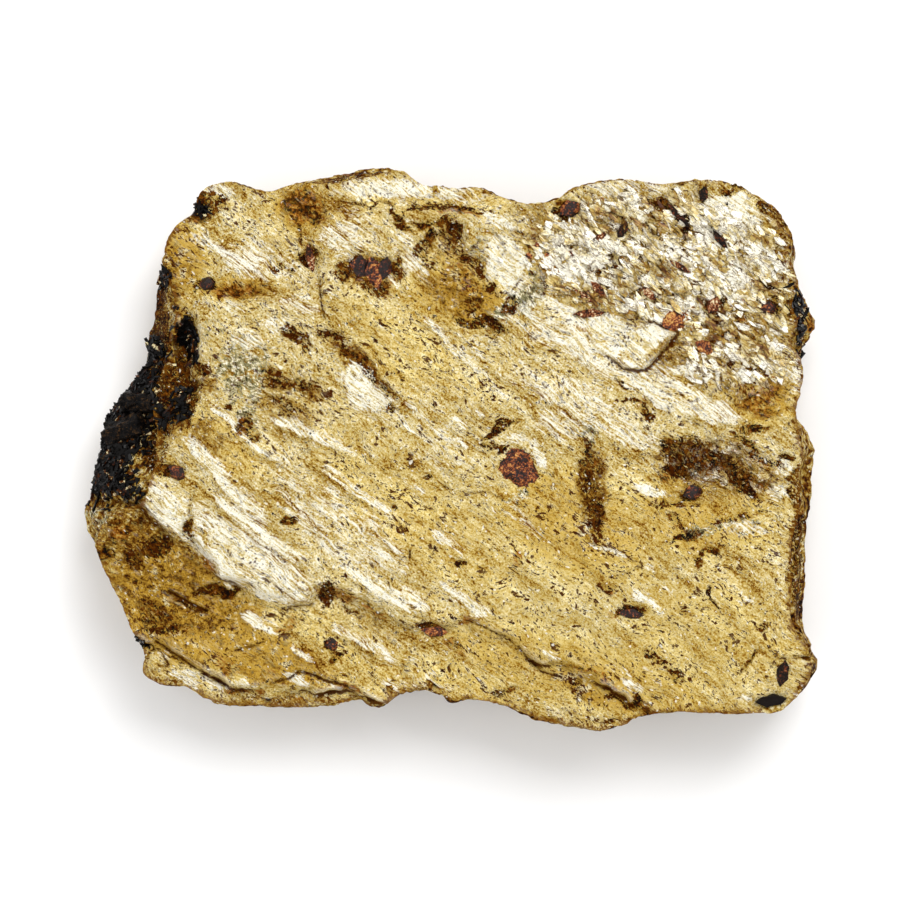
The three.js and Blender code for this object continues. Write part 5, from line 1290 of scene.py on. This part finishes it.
def scatter_group():
    """Geometry nodes that scatter thin broken plates over the surface that they are given."""
    group = bpy.data.node_groups.new("scattered_plates", "GeometryNodeTree")
    sockets = {
        "Surface": "NodeSocketGeometry", "Density Layer": "NodeSocketString", "Density": "NodeSocketFloat",
        "Size": "NodeSocketFloat", "Thickness": "NodeSocketFloat", "Tilt": "NodeSocketFloat",
        "Spread": "NodeSocketFloat", "Seed": "NodeSocketInt", "Material": "NodeSocketMaterial",
    }
    for name, kind in sockets.items():
        group.interface.new_socket(name, in_out="INPUT", socket_type=kind)
    group.interface.new_socket("Plates", in_out="OUTPUT", socket_type="NodeSocketGeometry")

    def add(kind, settings=None, inputs=None):
        node = group.nodes.new(kind)
        for name, value in (settings or {}).items():
            setattr(node, name, value)
        for key, value in (inputs or {}).items():
            if isinstance(value, bpy.types.NodeSocket):
                group.links.new(value, node.inputs[key])
            else:
                node.inputs[key].default_value = value
        return node

    def maths(operation, first, second):
        return add("ShaderNodeMath", {"operation": operation}, {0: first, 1: second}).outputs[0]

    def vector(x, y, z):
        return add("ShaderNodeCombineXYZ", inputs={"X": x, "Y": y, "Z": z}).outputs[0]

    def chance_of(low, high, shift):
        """A random number for each plate."""
        seed = maths("ADD", given["Seed"], shift)
        number = add("FunctionNodeRandomValue", {"data_type": "FLOAT"}, {2: low, 3: high, "Seed": seed})
        return number.outputs[1]

    def stored(geometry, name, value):
        """The geometry with a number stored at each of its points."""
        settings = {"data_type": "FLOAT", "domain": "POINT"}
        inputs = {"Geometry": geometry, "Name": name, "Value": value}
        return add("GeometryNodeStoreNamedAttribute", settings, inputs).outputs[0]

    given = add("NodeGroupInput").outputs
    layer = add("GeometryNodeInputNamedAttribute", {"data_type": "FLOAT"}, {"Name": given["Density Layer"]})
    density = maths("MULTIPLY", layer.outputs[0], given["Density"])
    points = add("GeometryNodeDistributePointsOnFaces", inputs={
        "Mesh": given["Surface"], "Density": density, "Seed": given["Seed"],
    })
    tinted = stored(points.outputs["Points"], "tint", chance_of(0.0, 1.0, 1))
    place = add("GeometryNodeInputPosition").outputs[0]
    apart = add("ShaderNodeSeparateXYZ", inputs={0: place}).outputs
    flat = vector(apart[0], apart[1], 0.0)
    from_middle = add("ShaderNodeVectorMath", {"operation": "LENGTH"}, {0: flat}).outputs["Value"]
    shapes = add("GeometryNodeJoinGeometry")
    for number in range(5):
        disc = add("GeometryNodeMeshCylinder", {"fill_type": "TRIANGLE_FAN"}, {"Vertices": 7, "Depth": 1.0})
        plate = stored(disc.outputs["Mesh"], "edge", from_middle)
        spot = vector(apart[0], apart[1], 5.3 * number)
        corner = add("ShaderNodeTexNoise", inputs={"Vector": spot, "Scale": 1.4})
        reach = maths("MULTIPLY_ADD", corner.outputs[0], 2.2)
        reach.node.inputs[2].default_value = -0.2
        factors = {0: place, 1: vector(reach, reach, 1.0)}
        broken = add("ShaderNodeVectorMath", {"operation": "MULTIPLY"}, factors).outputs[0]
        moved = add("GeometryNodeSetPosition", inputs={"Geometry": plate, "Position": broken}).outputs[0]
        whole = add("GeometryNodeGeometryToInstance", inputs={0: moved}).outputs[0]
        group.links.new(whole, shapes.inputs[0])
    spread = given["Spread"]
    angle = maths("SUBTRACT", maths("MULTIPLY", chance_of(-1.0, 1.0, 2), spread), FOLD_TURN)
    turn = add("FunctionNodeEulerToRotation", inputs={0: vector(0.0, 0.0, angle)}).outputs[0]
    level = add("FunctionNodeAlignRotationToVector", {"axis": "Z"}, {
        "Rotation": turn, "Factor": 1.0, "Vector": points.outputs["Normal"],
    })
    tilts = [maths("MULTIPLY", chance_of(-1.0, 1.0, shift), given["Tilt"]) for shift in (3, 4)]
    tip = add("FunctionNodeEulerToRotation", inputs={0: vector(*tilts, 0.0)}).outputs[0]
    tipped = add("FunctionNodeRotateRotation", {"rotation_space": "LOCAL"}, {0: level.outputs[0], 1: tip})
    spans = (((0.6, 2), 5), ((0.3, 0.8), 6))
    sizes = [maths("MULTIPLY", chance_of(*span, shift), given["Size"]) for span, shift in spans]
    placed = add("GeometryNodeInstanceOnPoints", inputs={
        "Points": tinted, "Instance": shapes.outputs[0], "Pick Instance": True,
        "Rotation": tipped.outputs[0], "Scale": vector(*sizes, given["Thickness"]),
    })
    real = add("GeometryNodeRealizeInstances", inputs={0: placed.outputs[0]})
    finish = {"Geometry": real.outputs[0], "Material": given["Material"]}
    dressed = add("GeometryNodeSetMaterial", inputs=finish)
    group.links.new(dressed.outputs[0], add("NodeGroupOutput").inputs[0])
    return group


def scattered(name, surface, group, values):
    """A piece made of plates scattered over a surface."""
    piece = bpy.data.objects.new(name, surface.data)
    bpy.context.scene.collection.objects.link(piece)
    modifier = piece.modifiers.new("scatter", "NODES")
    modifier.node_group = group
    for item in group.interface.items_tree:
        if item.in_out == "INPUT" and item.name in values:
            modifier[item.identifier] = values[item.name]
    piece.update_tag()
    apply_modifiers(piece, name)
    if not piece.data.polygons:
        raise RuntimeError(f"{name}: no plates were scattered")
    ride_root(piece)


def flake_material(settings):
    """Thin flakes: silver, cream and gold ones, with a few brown and rusty ones."""
    s = Surface("loose_flake")
    lines = s.wave(s.stretched(s.millimetres, 1.6, 0.25), detail=3, roughness=0.6)
    zone = s.wave(s.stretched(s.millimetres, 7, 3.4), detail=3)
    near = s.layer("silver") * 0.14 - s.layer("dark") * 0.3 - s.layer("brown") * 0.16 - s.layer("grey") * 0.1
    tone = zone * 1.9 + (s.layer("tint") - 0.5) * 0.42 + lines * 0.8 + near + 0.74
    colour = s.ramp(tone, tones(
        settings, dark_brown=0.14, brown=0.26, ochre=0.36, gold=0.46, tan=0.56, cream=0.68, silver=0.8,
    ))
    edge_share = ((s.layer("edge") + lines * 2 - 0.94) * 9).held()
    colour = s.mix(colour, settings.brown, edge_share * 0.5)
    vein = s.wave(s.stretched(s.millimetres, 2.2, 0.9), detail=4, roughness=0.64).distance()
    colour = s.mix(colour, settings.dark_brown, ((0.022 - vein) * 70).held() * 0.85)
    normal = s.bump(lines, 0.5, 0.0001)
    return s.finish({"Base Color": colour, "Metallic": 0.15, "Roughness": 0.42, "Normal": normal})


def chip_material(settings):
    """Broken black mica: black, with brown chips and a few pale ones that are painted glints."""
    s = Surface("black_chip")
    grain = s.wave(s.millimetres, 2.4, detail=3, roughness=0.7)
    colour = s.ramp(s.layer("tint") + grain * 0.4, tones(
        settings, black=0.86, dark_brown=0.94, brown=0.98, cream=1,
    ))
    return s.finish({"Base Color": colour, "Roughness": 0.3, "Specular IOR Level": 0.12})


def colour_setting(name, description, screen_colour):
    """A colour on the panel, given as it is read off a screen."""
    return bpy.props.FloatVectorProperty(
        name=name, description=description, subtype="COLOR", default=srgb(*screen_colour)
    )


def length_setting(name, description, metres):
    """A length on the panel."""
    return bpy.props.FloatProperty(
        name=name, description=description, default=metres, subtype="DISTANCE", unit="LENGTH"
    )


def angle_setting(name, description, radians):
    """An angle on the panel."""
    return bpy.props.FloatProperty(
        name=name, description=description, default=radians, subtype="ANGLE", unit="ROTATION"
    )


class MicaSlabSettings(bpy.types.PropertyGroup):
    """The slab's fineness and its colours."""

    columns: bpy.props.IntProperty(
        name="Columns", description="Steps of the mesh along the slab", default=340, min=40
    )
    rows: bpy.props.IntProperty(
        name="Rows", description="Steps of the mesh across the slab", default=262, min=30
    )
    sheets: bpy.props.IntProperty(
        name="Sheet ends", description="Thin sheets seen on the sides", default=17, min=6
    )
    triangles: bpy.props.IntProperty(
        name="Triangles", description="Triangles that are kept", default=192000, min=1000
    )
    ochre: colour_setting("Ochre", "Ochre between the folds", (152, 114, 40))
    gold: colour_setting("Gold", "Gold of the calm sheets", (188, 160, 80))
    tan: colour_setting("Tan", "Tan of the calm sheets", (207, 187, 126))
    cream: colour_setting("Cream", "Cream of worn places", (229, 215, 168))
    # Silvery mica, and also the painted highlight on the folds' upper flanks and the painted glints
    silver: colour_setting("Silver", "Silver of the folds' upper flanks", (252, 248, 230))
    brown: colour_setting("Brown", "Brown of rough places", (108, 64, 10))
    dark_brown: colour_setting("Dark brown", "Darkest brown", (68, 28, 0))
    gold_tint: colour_setting("Gold tint", "Tint of the golden zones", (254, 241, 188))
    rust: colour_setting("Rust", "Rust stains", (164, 98, 26))
    grey: colour_setting("Grey", "Grey-green patches", (132, 126, 88))
    mustard: colour_setting("Mustard", "Mustard patches", (186, 145, 50))
    black: colour_setting("Black", "Black of the shoulder and the clefts", (10, 8, 7))


class MicaCrystalSettings(bpy.types.PropertyGroup):
    """Colours of the garnets, blades and prisms."""

    garnet_dark: colour_setting("Dark garnet", "Garnet in its dark patches", (46, 18, 10))
    garnet_light: colour_setting("Light garnet", "Garnet in its light patches", (178, 104, 42))
    garnet_middle: colour_setting("Garnet", "Garnet between its dark and light patches", (122, 52, 24))
    blade: colour_setting("Blade", "Brown mica blades", (104, 44, 22))
    prism: colour_setting("Prism", "Black prisms", (9, 8, 8))


class MicaPlateSettings(bpy.types.PropertyGroup):
    """The thin flakes on the face and the black chips on the shoulder."""

    flakes: bpy.props.FloatProperty(
        name="Flakes", description="Flakes on a square metre", default=1.5e6, min=0
    )
    flake_size: length_setting("Flake size", "Half length of a flake", 0.00095)
    flake_thickness: length_setting("Flake thickness", "Thickness of a flake", 0.00018)
    flake_tilt: angle_setting("Flake tilt", "Most that a flake tips", math.radians(12))
    flake_spread: angle_setting("Flake spread", "Most that a flake turns away from the folds", 0.6)
    chips: bpy.props.FloatProperty(
        name="Chips", description="Black chips on a square metre", default=4e6, min=0
    )
    chip_size: length_setting("Chip size", "Half length of a chip", 0.00055)
    chip_thickness: length_setting("Chip thickness", "Thickness of a chip", 0.0005)
    chip_tilt: angle_setting("Chip tilt", "Most that a chip tips", 0.5)
    chip_spread: angle_setting("Chip spread", "Most that a chip turns away from the folds", 2.5)
    seed: bpy.props.IntProperty(name="Seed", description="Picks the places", default=7)


class MicaStageSettings(bpy.types.PropertyGroup):
    """The floor, the lights and the camera."""

    distance: length_setting("Camera distance", "From the face to the camera", 0.7)
    view_width: length_setting("View width", "Width of the view at the slab", 0.14694)
    key_power: bpy.props.FloatProperty(
        name="Key light", description="Power of the key light in watts", default=3.25
    )
    sky: bpy.props.FloatProperty(name="Sky", description="Strength of the white surroundings", default=0.74)
    floor: colour_setting("Floor", "Colour of the floor", (252, 252, 252))


class MICA_OT_slab(bpy.types.Operator):
    """Make the layered slab with its folds, sheets, patches and broken sides"""

    bl_idname = "mica.slab"
    bl_label = "Slab"

    def execute(self, context):
        settings = context.scene.mica_slab
        points, faces = slab_mesh(settings)
        slab = new_mesh("golden_mica", points, faces)
        thin = slab.modifiers.new("thin", "DECIMATE")
        thin.ratio = min(settings.triangles / (2 * len(faces)), 1)
        apply_modifiers(slab, "golden_mica")
        slab.data.polygons.foreach_set("use_smooth", np.ones(len(slab.data.polygons), bool))
        slab.data.set_sharp_from_angle(angle=math.radians(48))
        paint_fields(slab)
        dress(slab, mica_material(settings))
        ride_root(slab)
        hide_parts("mica_slab")
        return {"FINISHED"}


class MICA_OT_garnets(bpy.types.Operator):
    """Make the garnets that stand out of the face"""

    bl_idname = "mica.garnets"
    bl_label = "Garnets"

    def execute(self, context):
        settings = context.scene.mica_crystals
        parts = []
        for x, y, half_along, half_across, turn, proud, orange in GARNETS.values():
            points, faces = garnet_solid(half_along, half_across, turn, proud)
            points, faces = weathered(points, faces, 4, 0.11 * half_across, round(x) + 300)
            level = face_height(np.array([x]), np.array([y]), fine=False)[0]
            parts.append((points + (x, y, level), faces, orange))
        points, faces, amounts = join_parts(parts)
        piece = new_mesh("garnets", points, faces)
        store(piece.data, "orange", amounts)
        # The lightest stop is a painted highlight, in small patches on the garnets
        stops = [
            (0.28, srgb(24, 12, 8)), (0.42, settings.garnet_dark), (0.56, settings.garnet_middle),
            (0.7, settings.garnet_light), (0.86, srgb(214, 170, 96)),
        ]
        dress(piece, crystal_material("garnet", stops, 0.42, "orange"))
        ride_root(piece)
        return {"FINISHED"}


class MICA_OT_blades(bpy.types.Operator):
    """Make the blades of brown mica in the face"""

    bl_idname = "mica.blades"
    bl_label = "Brown blades"

    def execute(self, context):
        settings = context.scene.mica_crystals
        parts = []
        for name, (x, y, a, b, turn, proud) in BLADES.items():
            outline = [(along * a, across * b) for along, across in BLADE_OUTLINE]
            solid = prism_solid(outline, 0.5 * proud - BLADE_ROOT, 0.5 * proud)
            points, faces = weathered(*solid, 3, 0.1, round(y) + 400)
            tip = Quaternion((1, 0, 0), 0.2)
            points = turn_about_z(np.array([tip @ Vector(p) for p in points]), turn)
            level = face_height(np.array([x]), np.array([y]), fine=False)[0]
            light = DARK_BLADES.get(name, 0.85)
            parts.append((points + (x, y, level), faces, light))
        points, faces, amounts = join_parts(parts)
        piece = new_mesh("brown_blades", points, faces)
        store(piece.data, "orange", amounts)
        # The lightest stop is a painted glint, in small patches on the blades
        stops = [
            (0.3, srgb(20, 13, 9)), (0.44, srgb(50, 33, 20)), (0.6, settings.blade),
            (0.74, srgb(160, 96, 48)), (0.86, srgb(228, 212, 170)),
        ]
        dress(piece, crystal_material("brown_blade", stops, 0.4, "orange", 0.1))
        ride_root(piece)
        return {"FINISHED"}


class MICA_OT_prisms(bpy.types.Operator):
    """Make the black prisms on the broken shoulder"""

    bl_idname = "mica.prisms"
    bl_label = "Black prisms"

    def execute(self, context):
        parts = []
        for start, end, radius in BLACK_PRISMS:
            start, end = Vector(start), Vector(end)
            angles = [k * math.pi / 3 for k in range(6)]
            outline = [(radius * math.cos(angle), radius * math.sin(angle)) for angle in angles]
            points, faces = prism_solid(outline, 0, (end - start).length)
            points, faces = weathered(points, faces, 4, 0.5, round(start.y) + 500)
            turn = Vector((0, 0, 1)).rotation_difference(end - start)
            parts.append((np.array([turn @ Vector(p) + start for p in points]), faces, 0))
        points, faces, _ = join_parts(parts)
        piece = new_mesh("black_prisms", points, faces)
        # The lightest stop is a painted glint, in small patches on the black prisms
        stops = [(0.44, context.scene.mica_crystals.prism), (0.64, srgb(28, 22, 18)), (0.8, srgb(76, 54, 30))]
        dress(piece, crystal_material("black_prism", stops, 0.3, level=0.05))
        ride_root(piece)
        return {"FINISHED"}


class MICA_OT_plates(bpy.types.Operator):
    """Scatter thin flakes over the face and black chips over the shoulder"""

    bl_idname = "mica.plates"
    bl_label = "Flakes and chips"

    def execute(self, context):
        slab = bpy.data.objects["golden_mica"]
        colours = context.scene.mica_slab
        settings = context.scene.mica_plates
        group = scatter_group()
        scattered("mica_flakes", slab, group, {
            "Density Layer": "flake_density", "Density": settings.flakes, "Size": settings.flake_size,
            "Thickness": settings.flake_thickness, "Tilt": settings.flake_tilt,
            "Spread": settings.flake_spread, "Seed": settings.seed, "Material": flake_material(colours),
        })
        scattered("black_chips", slab, group, {
            "Density Layer": "chip_density", "Density": settings.chips, "Size": settings.chip_size,
            "Thickness": settings.chip_thickness, "Tilt": settings.chip_tilt,
            "Spread": settings.chip_spread, "Seed": settings.seed + 20, "Material": chip_material(colours),
        })
        return {"FINISHED"}


class MICA_OT_stage(bpy.types.Operator):
    """Make the pale floor, the soft lights and the camera above the slab"""

    bl_idname = "mica.stage"
    bl_label = "Stage"

    def execute(self, context):
        settings = context.scene.mica_stage
        scene = context.scene
        corners = FLOOR_REACH * np.array([(-1, -1, 0), (1, -1, 0), (1, 1, 0), (-1, 1, 0)])
        floor = new_mesh("floor", corners, np.array([[0, 1, 2, 3]]))
        surface = Surface("pale_floor")
        dress(floor, surface.finish({"Base Color": (*settings.floor, 1), "Roughness": 0.9}))
        self.light("key", *KEY_LIGHT, settings.key_power)
        self.light("fill", *FILL_LIGHT, settings.key_power * FILL_SHARE)
        world = bpy.data.worlds.new("studio")
        world.use_nodes = True
        world.node_tree.nodes["Background"].inputs["Color"].default_value = (1, 1, 1, 1)
        world.node_tree.nodes["Background"].inputs["Strength"].default_value = settings.sky
        scene.world = world
        data = bpy.data.cameras.new("camera")
        data.sensor_width = SENSOR_WIDTH_MM
        data.lens = SENSOR_WIDTH_MM * settings.distance / settings.view_width
        camera = bpy.data.objects.new("camera", data)
        x, y, z = VIEW_MIDDLE
        camera.location = (x, y, settings.distance + z)
        scene.collection.objects.link(camera)
        scene.camera = camera
        scene.view_settings.view_transform = "Standard"
        return {"FINISHED"}

    def light(self, name, place, size, power):
        data = bpy.data.lights.new(name, "AREA")
        data.size = size
        data.energy = power
        light = bpy.data.objects.new(name, data)
        light.location = place
        light.rotation_mode = "QUATERNION"
        light.rotation_quaternion = Vector(place).to_track_quat("Z", "Y")
        bpy.context.scene.collection.objects.link(light)


class MICA_PT_panel(bpy.types.Panel):
    """The slab's pieces, in the order in which they are made"""

    bl_idname = "MICA_PT_panel"
    bl_label = "Golden mica slab"
    bl_space_type = "VIEW_3D"
    bl_region_type = "UI"
    bl_category = "Mica"

    def draw(self, context):
        for operator, group in PIECES:
            self.layout.operator(operator)
            if group:
                settings = getattr(context.scene, group)
                for name in settings.__annotations__:
                    self.layout.prop(settings, name)


PIECES = [
    ("mica.slab", "mica_slab"), ("mica.plates", "mica_plates"), ("mica.garnets", "mica_crystals"),
    ("mica.blades", None), ("mica.prisms", None), ("mica.stage", "mica_stage"),
]
CLASSES = [
    MicaSlabSettings, MicaPlateSettings, MicaCrystalSettings, MicaStageSettings, MICA_OT_slab, MICA_OT_plates,
    MICA_OT_garnets, MICA_OT_blades, MICA_OT_prisms, MICA_OT_stage, MICA_PT_panel,
]


def register():
    for cls in CLASSES:
        bpy.utils.register_class(cls)
    bpy.types.Scene.mica_slab = bpy.props.PointerProperty(type=MicaSlabSettings)
    bpy.types.Scene.mica_crystals = bpy.props.PointerProperty(type=MicaCrystalSettings)
    bpy.types.Scene.mica_plates = bpy.props.PointerProperty(type=MicaPlateSettings)
    bpy.types.Scene.mica_stage = bpy.props.PointerProperty(type=MicaStageSettings)


def unregister():
    del bpy.types.Scene.mica_stage
    del bpy.types.Scene.mica_plates
    del bpy.types.Scene.mica_crystals
    del bpy.types.Scene.mica_slab
    for cls in reversed(CLASSES):
        bpy.utils.unregister_class(cls)


def main():
    register()
    bpy.ops.mica.slab()
    bpy.ops.mica.plates()
    bpy.ops.mica.garnets()
    bpy.ops.mica.blades()
    bpy.ops.mica.prisms()
    bpy.ops.mica.stage()


if __name__ == "__main__":
    main()
